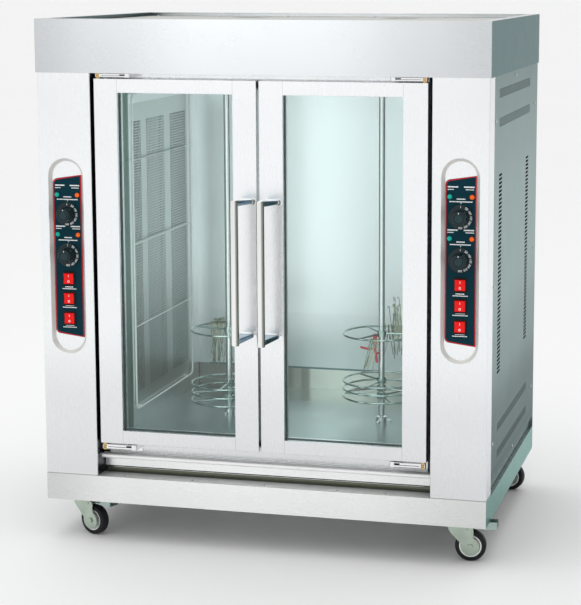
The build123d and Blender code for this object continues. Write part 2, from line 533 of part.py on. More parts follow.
def handle(xb):
    """xb is the right-hand end of the wings' foot on the door."""
    bx, by = xb - 26, DOOR_Y0 - BAR_OUT
    h = cyl((bx, by, BAR_Z0), BAR_R, BAR_Z1 - BAR_Z0)
    h = fillet([e for e in h.edges() if e.geom_type == GeomType.CIRCLE], 1.5)
    for gz, s in ((GRIP_Z[0], -1), (GRIP_Z[1], 1)):
        foot = Plane(origin=(xb - 19, DOOR_Y0, gz), x_dir=(1, 0, 0), z_dir=(0, -1, 0)) * RectangleRounded(38, 9, 3)
        tip = Plane(origin=(bx, by, gz + s * 4), x_dir=(1, 0, 0), z_dir=(0, -1, 0)) * RectangleRounded(11, 14, 3)
        wing = loft([foot, tip])
        h += wing
        h += cyl((xb - 3, DOOR_Y0 - 6, gz), 7.0, 6, "y")
    return h


HANDLE_L, HANDLE_R = 541.0, 604.0
put("door_handle_left", handle(HANDLE_L))
put("door_handle_right", handle(HANDLE_R))

# ---------------------------------------------------------------- drip tray with rolled pull rail
TX0, TX1 = 137.5, W - 137.5
tray = B(158, W - 158, 48, 690, 178.5, 208) - B(159.2, W - 159.2, 49.2, 688.8, 179.7, 210)
tray += B(141, W - 141, 49.2, 690, 206.8, 208) - B(160, W - 160, 49.2, 688.8, 206, 209)
face = B(TX0, TX1, 46.5, 48, 180, 217)
flange = B(TX0, TX1, 27, 48, 215.5, 217)
nose = cyl((TX0, 26.5, 211.5), 5.5, TX1 - TX0, "x")
nose -= cyl((TX0 - 1, 26.5, 211.5), 4.0, TX1 - TX0 + 2, "x")
nose -= B(TX0 - 1, TX1 + 1, 26.5, 40, 204, 215.5)
tray = tray + face + flange + nose
put("drip_tray", tray)

# ---------------------------------------------------------------- casters


def caster(x, y, braked, ang):
    """Swivel caster turned by ang from trailing towards +x. Returns plate, fork, wheel and pedal solids."""
    plate = B(x - 38, x + 38, y - 30, y + 30, ZB - 3, ZB)
    plate = fillet(plate.edges().filter_by(Axis.Z), 5)
    kingpin = cyl((x, y, 82), 6, 15) + cyl((x, y, 81.5), 9, 3.9)
    bolts = []
    for dx in (-30, 30):
        for dy in (-22, 22):
            b = extrude(Plane(origin=(x + dx, y + dy, ZB - 3), x_dir=(1, 0, 0), z_dir=(0, 0, -1)) * RegularPolygon(5.6, 6), amount=4, dir=(0, 0, -1))
            bolts.append(b)
    crown = cyl((x, y, 86), 25, 7) + cyl((x, y, 93), 20, 3.4)
    crown = chamfer([e for e in crown.edges() if e.geom_type == GeomType.CIRCLE and abs(e.radius - 25) < 0.1 and abs(e.center().Z - 93) < 0.1], 2.5)
    ax = x + TRAIL
    fork = crown
    legp = Polyline((-25, 89), (25, 89), (34, 84), (36, 76), (36, 50), (28, 37.5), (8, 37.5), (5, 45), (-21, 73), (-25, 81), (-25, 89))
    lf = make_face(legp) + Pos(TRAIL, 37.5) * Circle(22)
    lf = fillet([v for v in lf.vertices() if v.Y < 87 and (v.X < -20 or v.X > 33)], 2.5)
    leg = extrude(Plane(origin=(x, y, 0), x_dir=(1, 0, 0), z_dir=(0, -1, 0)) * lf, amount=2.5, dir=(0, 1, 0))
    for s in (-18.5, 16.0):
        fork += Pos(0, s, 0) * leg
    fork += B(x - 20, x + 20, y - 18.5, y + 18.5, 86, 89) - cyl((x, y, 80), 10, 12)
    fork -= cyl((x, y, 80), 6 + RUN, 20)
    bolt = cyl((ax, y - 22, 37.5), AXLE_R, 44, "y")
    bolt += cyl((ax, y - 22, 37.5), 6.5, 3.5, "y") + cyl((ax, y + 18.5, 37.5), 6.5, 3.5, "y")
    fork -= cyl((ax, y - 22, 37.5), AXLE_R, 44, "y")
    px, pz = x + 21, 80.5
    if braked:
        fork -= cyl((px, y - 30, pz), 2.5 + RUN, 60, "y")
    tyre = cyl((ax, y - TYRE_W / 2, 37.5), TYRE_R, TYRE_W, "y")
    tyre = fillet([e for e in tyre.edges() if e.geom_type == GeomType.CIRCLE], 4)
    tyre -= cyl((ax, y - TYRE_W / 2 - 1, 37.5), 27, TYRE_W + 2, "y")
    rim = cyl((ax, y - 11, 37.5), 27, 22, "y") - cyl((ax, y - 12, 37.5), 24, 9.5, "y") - cyl((ax, y + 2.5, 37.5), 24, 9.5, "y")
    rim += cyl((ax, y - 15.2, 37.5), 11, 30.4, "y")
    rim -= cyl((ax, y - 20, 37.5), AXLE_R + RUN, 40, "y")
    pedal = None
    if braked:
        # foot lever: a folded channel whose side walls rise towards the outer end
        pedal = B(px - 3, px + 40, y - 12, y + 12, 80.9, 83.4) + B(px + 36, px + 71.18, y - 15, y + 15, 80.9, 83.4)
        pedal += cyl((px, y - 19.5, pz), 2.5, 39, "y") + cyl((px, y - 12, pz), 4.5, 24, "y")
        wall = make_face(Polyline((px + 36, 80.9), (px + 71.18, 80.9), (px + 71.18, 99.3), (px + 54, 99.3), (px + 36, 86), (px + 36, 80.9)))
        wall = extrude(Plane(origin=(0, 0, 0), x_dir=(1, 0, 0), z_dir=(0, -1, 0)) * wall, amount=1.5, dir=(0, 1, 0))
        pedal += [Pos(0, y - 15, 0) * wall, Pos(0, y + 13.5, 0) * wall]
    spin = Pos(x, y, 0) * Rot(0, 0, ang) * Pos(-x, -y, 0)
    turned = [[spin * s for s in g] for g in ([fork, bolt], [tyre, rim])]
    return [plate, kingpin] + bolts, turned[0], turned[1], (spin * pedal if braked else None)


plates = []
for key, x, y, braked in (("front_left", CASTER_X, CASTER_Y, True), ("front_right", W - CASTER_X, CASTER_Y, True),
                          ("rear_left", CASTER_X, D - CASTER_Y, False), ("rear_right", W - CASTER_X, D - CASTER_Y, False)):
    pl, fk_, wh, pe = caster(x, y, braked, SWIVEL[key])
    plates += pl
    put("caster_fork_" + key, fk_)
    put("caster_wheel_" + key, wh)
    if pe is not None:
        put("brake_pedal_" + key, pe)
put("caster_plates", plates)

# ---------------------------------------------------------------- screws


def screw(p, axis, r=4.0, h=2.2):
    """Pan-head screw seen from outside; p lies on the sheet, axis points outward."""
    s = Cylinder(r, h, align=(Align.CENTER, Align.CENTER, Align.MIN))
    s = fillet([e for e in s.edges() if abs(e.center().Z - h) < 0.01], 1.0)
    s -= Pos(0, 0, h) * (Box(r * 1.2, 0.9, 1.6) + Box(0.9, r * 1.2, 1.6))
    turn = {"z": (0, 0, 0), "x": (0, 90, 0), "-x": (0, -90, 0), "y": (-90, 0, 0), "-y": (90, 0, 0)}[axis]
    return Pos(*p) * Rot(*turn) * s


screws = []
for y, z in ((80, 1050), (80, 662), (80, 285), (718, 1050), (722, 662), (718, 285), (385, 1142), (392, 201)):
    screws.append(screw((W, y, z), "x"))
    screws.append(screw((0, y, z), "-x"))
for x in (374, 556, 738, 855, 200):
    screws.append(screw((x, 9, ZBAND), "z", 3.5, 2.0))
for x in (60, 240, 430, 670, 860, 1040):
    screws.append(screw((x, 60, 1272.5), "z"))
    screws.append(screw((x, 700, 1272.5), "z"))
for x in (20, 385, 715, 1080):
    for z in (120, 640, 1135):
        screws.append(screw((x, D, z), "y"))
put("panel_screws", screws)

# ---------------------------------------------------------------- write every piece
lo = [1e9] * 3
hi = [-1e9] * 3
for name, sol in parts.items():
    for s in sol:
        bb = s.bounding_box()
        for i, (a, b) in enumerate(zip(tuple(bb.min), tuple(bb.max))):
            lo[i] = min(lo[i], a)
            hi[i] = max(hi[i], b)
    shape = Pos(-ORIGIN[0], -ORIGIN[1], -ORIGIN[2]) * (Compound(children=list(sol)) if len(sol) > 1 else sol[0])
    export_step(shape, "parts/%s.step" % name)
print(len(parts), "pieces; box in working axes", [round(v, 2) for v in lo], [round(v, 2) for v in hi])
print("middle", [round((a + b) / 2, 3) for a, b in zip(lo, hi)])
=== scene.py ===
import json
import math
import random

import bpy
import bmesh
from mathutils import Matrix, Vector

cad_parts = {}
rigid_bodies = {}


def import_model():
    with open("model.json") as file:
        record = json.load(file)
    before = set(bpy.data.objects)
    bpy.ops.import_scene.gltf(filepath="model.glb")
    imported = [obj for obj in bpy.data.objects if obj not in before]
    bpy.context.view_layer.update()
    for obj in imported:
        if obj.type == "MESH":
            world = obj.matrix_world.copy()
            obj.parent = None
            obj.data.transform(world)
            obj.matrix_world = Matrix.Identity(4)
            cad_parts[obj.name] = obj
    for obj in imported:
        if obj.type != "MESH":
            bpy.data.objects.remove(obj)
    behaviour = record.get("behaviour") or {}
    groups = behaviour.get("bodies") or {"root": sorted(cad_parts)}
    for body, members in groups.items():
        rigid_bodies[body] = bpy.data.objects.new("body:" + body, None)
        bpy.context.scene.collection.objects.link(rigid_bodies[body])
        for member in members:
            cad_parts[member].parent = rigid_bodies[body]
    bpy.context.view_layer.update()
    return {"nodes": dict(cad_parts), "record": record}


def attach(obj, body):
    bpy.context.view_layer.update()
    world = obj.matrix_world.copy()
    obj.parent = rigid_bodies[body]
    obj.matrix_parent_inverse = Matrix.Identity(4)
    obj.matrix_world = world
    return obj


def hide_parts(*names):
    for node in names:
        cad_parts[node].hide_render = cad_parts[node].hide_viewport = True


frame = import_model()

NODES = frame["nodes"]
OX, OY = 557.5, 354.25          # the CAD working axes' offset to the row frame, mm
MM = 0.001


def P(x, y, z):
    """A point in the cabinet's own millimetres (x from the left side, y from the front, z from the floor) as metres in the row frame."""
    return Vector(((x - OX) * MM, (y - OY) * MM, z * MM))


# ---------------------------------------------------------------- camera, at the photograph's angle
cam_data = bpy.data.cameras.new("camera")
cam = bpy.data.objects.new("camera", cam_data)
bpy.context.scene.collection.objects.link(cam)
bpy.context.scene.camera = cam
cam_data.sensor_width = 36.0
cam_data.sensor_fit = "AUTO"
cam_data.lens = 1826.2 / 605 * 36.0
cam_data.shift_x = -(350.0 - 290.5) / 605
cam_data.shift_y = -(302.5 - 248.0) / 605
cam_data.clip_start, cam_data.clip_end = 0.1, 1000
yaw, pitch, roll = -0.23926361, -0.14874849, -0.00047587
fwd = Vector((math.sin(yaw) * math.cos(pitch), math.cos(yaw) * math.cos(pitch), math.sin(pitch)))
r0 = Vector((math.cos(yaw), -math.sin(yaw), 0))
u0 = r0.cross(fwd)
rgt = r0 * math.cos(roll) + u0 * math.sin(roll)
up = -r0 * math.sin(roll) + u0 * math.cos(roll)
m = Matrix((
    (rgt.x, up.x, -fwd.x, 0), (rgt.y, up.y, -fwd.y, 0), (rgt.z, up.z, -fwd.z, 0), (0, 0, 0, 1)))
m.translation = P(1771.0311, -4091.2638, 1386.0471)
cam.matrix_world = m

# ---------------------------------------------------------------- studio
sc = bpy.context.scene
sc.view_settings.view_transform = "Standard"
sc.view_settings.look = "None"


class N:
    """A small helper to build a node tree."""

    def __init__(self, tree):
        self.t = tree
        self.t.nodes.clear()

    def add(self, kind, **kw):
        n = self.t.nodes.new(kind)
        ins = kw.pop("ins", {})
        for k, v in kw.items():
            setattr(n, k, v)
        for k, v in ins.items():
            if isinstance(v, bpy.types.NodeSocket):
                self.t.links.new(v, n.inputs[k])
            else:
                n.inputs[k].default_value = v
        return n

    def link(self, a, b):
        self.t.links.new(a, b)

    def math(self, op, a, b=None, clamp=False):
        n = self.add("ShaderNodeMath", operation=op, use_clamp=clamp)
        for i, v in enumerate((a, b)):
            if v is None:
                continue
            if isinstance(v, bpy.types.NodeSocket):
                self.link(v, n.inputs[i])
            else:
                n.inputs[i].default_value = v
        return n.outputs[0]

    def ramp(self, fac, stops, interp="LINEAR"):
        n = self.add("ShaderNodeValToRGB")
        cr = n.color_ramp
        cr.interpolation = interp
        while len(cr.elements) < len(stops):
            cr.elements.new(0.5)
        for e, (p, c) in zip(cr.elements, stops):
            e.position = p
            e.color = (c, c, c, 1) if isinstance(c, (int, float)) else tuple(c) + ((1,) if len(c) == 3 else ())
        self.link(fac, n.inputs[0])
        return n.outputs[0]

    def mixc(self, fac, a, b, blend="MIX"):
        n = self.add("ShaderNodeMix", data_type="RGBA", blend_type=blend)
        for idx, v in ((0, fac), (6, a), (7, b)):
            if isinstance(v, bpy.types.NodeSocket):
                self.link(v, n.inputs[idx])
            elif idx == 0:
                n.inputs[0].default_value = v
            else:
                n.inputs[idx].default_value = tuple(v) + ((1,) if len(v) == 3 else ())
        return n.outputs[2]

    def coords(self, scale=(1, 1, 1), loc=(0, 0, 0), rot=(0, 0, 0), kind="Object"):
        tc = self.add("ShaderNodeTexCoord")
        mp = self.add("ShaderNodeMapping")
        mp.inputs["Scale"].default_value = scale
        mp.inputs["Location"].default_value = loc
        mp.inputs["Rotation"].default_value = rot
        self.link(tc.outputs[kind], mp.inputs["Vector"])
        return mp.outputs[0]

    def noise(self, vec, scale=5.0, detail=3.0, rough=0.5, dist=0.0):
        n = self.add("ShaderNodeTexNoise")
        self.link(vec, n.inputs["Vector"])
        n.inputs["Scale"].default_value = scale
        n.inputs["Detail"].default_value = detail
        n.inputs["Roughness"].default_value = rough
        n.inputs["Distortion"].default_value = dist
        return n.outputs["Fac"]

    def bump(self, height, strength=0.2, distance=0.001, normal=None):
        n = self.add("ShaderNodeBump")
        n.inputs["Strength"].default_value = strength
        n.inputs["Distance"].default_value = distance
        self.link(height, n.inputs["Height"])
        if normal is not None:
            self.link(normal, n.inputs["Normal"])
        return n.outputs[0]

# ---------------------------------------------------------------- materials


def material(name):
    mat = bpy.data.materials.new(name)
    mat.use_nodes = True
    n = N(mat.node_tree)
    out = n.add("ShaderNodeOutputMaterial")
    b = n.add("ShaderNodeBsdfPrincipled")
    n.link(b.outputs[0], out.inputs[0])
    return mat, n, b, out


def steel(name, col, rough=0.3, brush="x", spread=0.025, bump=0.01, tint=0.03, cloud=2.2, smudge=0.05, extra=None):
    """Satin or brushed stainless. brush is the axis that the grain runs along; extra(n, base) may add local marks and
    painted shade.
    """
    mat, n, b, out = material(name)
    s = {"x": (6, 1100, 1100), "y": (1100, 6, 1100), "z": (1100, 1100, 6), "all": (700, 700, 700)}[brush]
    grain = n.noise(n.coords(scale=s), 1.0, 2.0, 0.6)
    soft = n.noise(n.coords(scale=(1, 1, 1)), cloud, 3.0, 0.55, 0.2)
    spots = n.noise(n.coords(scale=(1, 1, 1), loc=(3.1, 1.7, 0.4)), 9.0, 4.0, 0.6)
    lo = tuple(max(0, c * (1 - tint)) for c in col)
    hi = tuple(min(1, c * (1 + tint)) for c in col)
    base = n.mixc(soft, lo, hi)
    fine = n.ramp(grain, ((0.25, tuple([0.990] * 3)), (0.75, (1, 1, 1))))
    base = n.mixc(1.0, base, fine, "MULTIPLY")
    if extra:
        base = extra(n, base)
    n.link(base, b.inputs["Base Color"])
    b.inputs["Metallic"].default_value = 1.0
    r = n.math("MULTIPLY", n.math("SUBTRACT", grain, 0.5), spread * 2)
    r2 = n.math("MULTIPLY", n.math("SUBTRACT", spots, 0.45), smudge * 2)
    rr = n.math("ADD", n.math("ADD", r, r2), rough, clamp=True)
    n.link(rr, b.inputs["Roughness"])
    nb = n.bump(grain, bump, 0.0004)
    n.link(nb, b.inputs["Normal"])
    return mat


def chrome(name, col=(0.86, 0.87, 0.88), rough=0.07, bump=0.02, extra=None):
    mat, n, b, out = material(name)
    soft = n.noise(n.coords(), 7.0, 3.0, 0.5)
    fine = n.noise(n.coords(scale=(1, 1, 1)), 260.0, 2.0, 0.5)
    base = n.mixc(soft, tuple(c * 0.95 for c in col), tuple(min(1, c * 1.03) for c in col))
    if extra:
        base = extra(n, base)
    n.link(base, b.inputs["Base Color"])
    b.inputs["Metallic"].default_value = 1.0
    n.link(n.math("ADD", n.math("MULTIPLY", soft, 0.07), rough - 0.02, clamp=True), b.inputs["Roughness"])
    n.link(n.bump(fine, bump, 0.0003), b.inputs["Normal"])
    return mat


def plastic(name, col, rough=0.35, grain=400.0, bump=0.08, var=0.12, coat=0.0, spec=0.5, glow=0.0, sub=0.0):
    mat, n, b, out = material(name)
    soft = n.noise(n.coords(), 14.0, 3.0, 0.55)
    fine = n.noise(n.coords(), grain, 2.0, 0.5)
    base = n.mixc(soft, tuple(c * (1 - var) for c in col), tuple(min(1, c * (1 + var)) for c in col))
    n.link(base, b.inputs["Base Color"])
    n.link(n.math("ADD", n.math("MULTIPLY", soft, 0.16), rough - 0.08, clamp=True), b.inputs["Roughness"])
    n.link(n.bump(fine, bump, 0.0003), b.inputs["Normal"])
    b.inputs["Coat Weight"].default_value = coat
    b.inputs["Specular IOR Level"].default_value = spec
    if glow:
        n.link(base, b.inputs["Emission Color"])
        b.inputs["Emission Strength"].default_value = glow
    return mat


def pane(name, tint=(0.90, 0.965, 0.95)):
    """Clear tempered glass: sees through with a faint tint, mirrors by Fresnel."""
    mat, n, b, out = material(name)
    n.t.nodes.remove(b)
    fr = n.add("ShaderNodeFresnel", ins={"IOR": 1.5})
    smear = n.noise(n.coords(scale=(1, 1, 0.6)), 4.0, 4.0, 0.6, 0.3)
    tr = n.add("ShaderNodeBsdfTransparent")
    n.link(n.mixc(smear, tint, tuple(min(1, c * 1.02) for c in tint)), tr.inputs[0])
    gl = n.add("ShaderNodeBsdfGlossy")
    gl.inputs["Color"].default_value = (0.95, 1.0, 0.99, 1)
    n.link(n.math("MULTIPLY", smear, 0.03), gl.inputs["Roughness"])
    mx = n.add("ShaderNodeMixShader")
    geo = n.add("ShaderNodeNewGeometry")
    n.link(n.math("MULTIPLY", fr.outputs[0], n.math("SUBTRACT", 1.0, geo.outputs["Backfacing"])), mx.inputs[0])
    n.link(tr.outputs[0], mx.inputs[1])
    n.link(gl.outputs[0], mx.inputs[2])
    n.link(mx.outputs[0], out.inputs[0])
    return mat


def axes(n):
    """Object-space position in the cabinet's millimetres, as three sockets."""
    tc = n.add("ShaderNodeTexCoord")
    sp = n.add("ShaderNodeSeparateXYZ")
    n.link(tc.outputs["Object"], sp.inputs[0])
    x = n.math("ADD", n.math("MULTIPLY", sp.outputs[0], 1000.0), OX)
    y = n.math("ADD", n.math("MULTIPLY", sp.outputs[1], 1000.0), OY)
    z = n.math("MULTIPLY", sp.outputs[2], 1000.0)
    return x, y, z


def between(n, s, a, b, soft=0.5):
    """1 where a < s < b, with soft edges."""
    u = n.math("DIVIDE", n.math("SUBTRACT", s, a), soft, clamp=True)
    v = n.math("DIVIDE", n.math("SUBTRACT", b, s), soft, clamp=True)
    return n.math("MULTIPLY", u, v)


def near(n, s, at, half):
    return between(n, s, at - half, at + half, half * 0.6)


def normal_x(n):
    g = n.add("ShaderNodeNewGeometry")
    sp = n.add("ShaderNodeSeparateXYZ")
    n.link(g.outputs["True Normal"], sp.inputs[0])
    return sp.outputs[0]


def level(n, s, lo, hi, stops, interp="EASE"):
    """A grey factor that follows one coordinate: stops are (coordinate, factor) pairs."""
    f = n.math("DIVIDE", n.math("SUBTRACT", s, lo), hi - lo, clamp=True)
    return n.ramp(f, tuple(((p - lo) / (hi - lo), v) for p, v in stops), interp)


def front_painted_shade(n, base):
    """Painted shade: the fronts are painted a little darker towards the bottom and the top."""
    x, y, z = axes(n)
    k = level(n, z, 160, 1160, ((160, 0.80), (330, 0.85), (560, 1.0), (900, 1.0), (1160, 0.93)))
    return n.mixc(1.0, base, k, "MULTIPLY")


def door_marks(n, base):
    """Painted shade by height, as on the fronts, and faint butt joints where the rails meet the stiles."""
    base = front_painted_shade(n, base)
    x, y, z = axes(n)
    m = None
    for at in (201.5, 489.0, 611.0, 898.5):
        k = near(n, x, at, 0.75)
        m = k if m is None else n.math("MAXIMUM", m, k)
    rails = n.math("MAXIMUM", between(n, z, 240, 283, 0.5), between(n, z, 1108, 1150, 0.5))
    m = n.math("MULTIPLY", m, rails)
    return n.mixc(n.math("MULTIPLY", m, 0.45), base, (0.28, 0.30, 0.30))


def recess_zone(n, x):
    return n.math("MAXIMUM", between(n, x, 18.0, 116.0, 0.5), between(n, x, 984.0, 1082.0, 0.5))


def post_seam_and_painted_shade(n, base):
    """Painted shade: darker towards the bottom and the top, a darker grey on the sloped rim of each pressed recess, and
    near black on the return beside each door and on the strip of surround in the gap, where shade falls; a dark seam
    line where the post meets the base.
    """
    base = front_painted_shade(n, base)
    x, y, z = axes(n)
    # painted shade on the sloped rim of each pressed recess
    recess_bevel_shade = n.math("MULTIPLY", recess_zone(n, x), between(n, y, 0.6, 9.4, 0.4))
    base = n.mixc(recess_bevel_shade, base, (0.80, 0.795, 0.765))
    base = n.mixc(n.math("MULTIPLY", near(n, z, 166.6, 0.9), 0.75), base, (0.10, 0.11, 0.10))
    # painted shade, near black, on the return beside each door and on the strip of surround in the gap
    inner = n.math("MAXIMUM", between(n, x, 133.2, 149.5, 0.4), between(n, x, 950.5, 966.8, 0.4))
    gap_shade_depth = between(n, y, 3.0, 60.0, 3.0)
    return n.mixc(n.math("MULTIPLY", inner, gap_shade_depth), base, (0.045, 0.05, 0.058))


def side_painted_shade(n, base):
    """Painted shade: colder and darker towards the top and the bottom of the side sheets, with a painted shadow line
    along the shadow gap near their lower edge.
    """
    x, y, z = axes(n)
    k = level(n, z, 160, 1160, ((160, 0.70), (330, 0.76), (480, 0.90), (650, 1.0), (860, 1.0), (1000, 0.97), (1090, 0.92), (1160, 0.90)))
    base = n.mixc(1.0, base, k, "MULTIPLY")
    return n.mixc(n.math("MULTIPLY", near(n, z, 211.0, 1.3), 0.7), base, (0.04, 0.07, 0.07))


def gap_painted_shade(n, base):
    """Painted shade: the riser behind the shadow gap is painted a dark dull teal, with a darker painted shadow line
    along each edge.
    """
    x, y, z = axes(n)
    base = n.mixc(between(n, z, 159.5, 196.0, 0.5), base, (0.17, 0.27, 0.255))
    edges = n.math("MAXIMUM", between(n, z, 159.5, 165.0, 1.0), between(n, z, 186.0, 194.5, 1.0))
    return n.mixc(n.math("MULTIPLY", edges, 0.9), base, (0.03, 0.055, 0.06))


def liner_painted_shade_and_reflection(n, base):
    """Painted shade and reflection: below the baffle the rear wall is painted darker, most of all at its left, with one
    lighter streak as a painted reflection; the baffle is a touch darker low down, with a painted shadow line along its
    lower edge; the walls beside the doors are painted a dull dark green as shade.
    """
    x, y, z = axes(n)
    low = n.math("MULTIPLY", between(n, y, 712.0, 721.0, 0.5), between(n, z, 240.0, 304.0, 0.8))
    k = level(n, x, 380, 760, ((380, 0.40), (425, 0.42), (443, 0.62), (455, 0.62), (462, 0.42), (476, 0.46), (488, 1.0), (600, 1.0), (690, 0.86), (760, 0.78)))
    col = n.mixc(1.0, (1.0, 0.97, 0.89), k, "MULTIPLY")
    base = n.mixc(low, base, col)
    tone = n.math("MULTIPLY", between(n, y, 704.0, 709.0, 0.4), between(n, z, 300.0, 462.0, 4.0))
    base = n.mixc(n.math("MULTIPLY", tone, 0.05), base, (0.10, 0.13, 0.14))
    lip = n.math("MULTIPLY", between(n, y, 704.0, 709.0, 0.4), between(n, z, 301.0, 308.5, 0.8))
    base = n.mixc(n.math("MULTIPLY", lip, 0.85), base, (0.08, 0.17, 0.19))
    jambs = n.math("MULTIPLY", between(n, y, 8.0, 190.0, 7.0), n.math("LESS_THAN", x, 175.0))
    return n.mixc(n.math("MULTIPLY", jambs, 0.95), base, (0.12, 0.225, 0.18))


def header_painted_shade(n, base):
    x, y, z = axes(n)
    # Painted shade: the header is painted darker towards its ends, and its side faces a darker teal grey.
    k = level(n, x, -5, 1105, ((-5, 0.74), (160, 0.86), (420, 1.0), (700, 0.98), (950, 0.84), (1105, 0.78)))
    base = n.mixc(1.0, base, k, "MULTIPLY")
    nx = n.math("ABSOLUTE", normal_x(n))
    side = between(n, nx, 0.6, 2.0, 0.2)
    return n.mixc(side, base, (0.35, 0.42, 0.43))


def base_painted_light(n, base):
    x, y, z = axes(n)
    # Painted shadow and shade: a near-black line along the lower edge of the tray face, a dull olive at the back of the
    # ledge under the tray, and a darker line along the ledge's front edge.
    tray_foot_shadow = n.math("MULTIPLY", between(n, z, 179.0, 182.6, 0.5), between(n, y, 45.5, 48.6, 0.3))
    back = n.math("MULTIPLY", between(n, z, 164.0, 167.0, 0.4), between(n, y, 42.0, 90.0, 4.0))
    edge = n.math("MULTIPLY", between(n, z, 165.2, 167.0, 0.3), between(n, y, -1.0, 1.6, 0.5))
    base = n.mixc(n.math("MULTIPLY", tray_foot_shadow, 0.95), base, (0.015, 0.025, 0.02))
    base = n.mixc(n.math("MULTIPLY", back, 0.8), base, (0.16, 0.17, 0.12))
    base = n.mixc(n.math("MULTIPLY", edge, 0.6), base, (0.25, 0.22, 0.15))
    # Painted shade: darker towards the ends.
    k = level(n, x, -5, 1105, ((-5, 0.70), (200, 0.90), (480, 1.0), (760, 0.97), (1105, 0.76)))
    base = n.mixc(1.0, base, k, "MULTIPLY")
    # A painted highlight of white along the tray's rolled rail, and painted shade on the side faces.
    nx = n.math("ABSOLUTE", normal_x(n))
    side = between(n, nx, 0.6, 2.0, 0.2)
    base = n.mixc(n.math("MULTIPLY", between(n, y, 18.0, 44.0, 1.0), between(n, z, 204.0, 218.0, 0.5)), base, (1, 1, 1))
    return n.mixc(side, base, (0.36, 0.46, 0.44))


def brass_pins(n, base):
    """The pins and bushes at the pivots are brass, the arms chrome."""
    x, y, z = axes(n)
    m = None
    for at in (152.5, 947.5):
        dx = n.math("SUBTRACT", x, at)
        dy = n.math("SUBTRACT", y, 10.0)
        d = n.math("SQRT", n.math("ADD", n.math("MULTIPLY", dx, dx), n.math("MULTIPLY", dy, dy)))
        k = n.math("LESS_THAN", d, 6.56)
        m = k if m is None else n.math("MAXIMUM", m, k)
    return n.mixc(m, base, (0.62, 0.42, 0.18))


def handle_painted_shade_and_reflection(n, base):
    """Painted shade and reflection: the wings are painted a dark blue-grey as a painted dark reflection; the bar's
    right side is painted darker as shade.
    """
    x, y, z = axes(n)
    tc = n.add("ShaderNodeTexCoord")
    sp = n.add("ShaderNodeSeparateXYZ")
    n.link(tc.outputs["Normal"], sp.inputs[0])
    flank_shade = n.math("MULTIPLY", between(n, sp.outputs[0], 0.38, 2.0, 0.25), n.math("LESS_THAN", y, -60.0))
    base = n.mixc(flank_shade, base, (0.27, 0.29, 0.26))
    w = between(n, y, -66.0, -5.5, 2.5)
    return n.mixc(w, base, (0.16, 0.25, 0.32))


def baffle_rough(mat):
    """The mirror baffle in front of the rear wall gets an even roughness of 0.30, without the grain and smudges of the
    walls.
    """
    n = N.__new__(N)
    n.t = mat.node_tree
    b = next(k for k in n.t.nodes if k.type == "BSDF_PRINCIPLED")
    old = b.inputs["Roughness"].links[0].from_socket
    x, y, z = axes(n)
    m = n.math("MULTIPLY", between(n, y, 705.0, 708.0, 0.5), between(n, x, 190, 910, 1.0))
    r = n.math("ADD", n.math("MULTIPLY", old, n.math("SUBTRACT", 1.0, m)), n.math("MULTIPLY", m, 0.30))
    n.link(r, b.inputs["Roughness"])


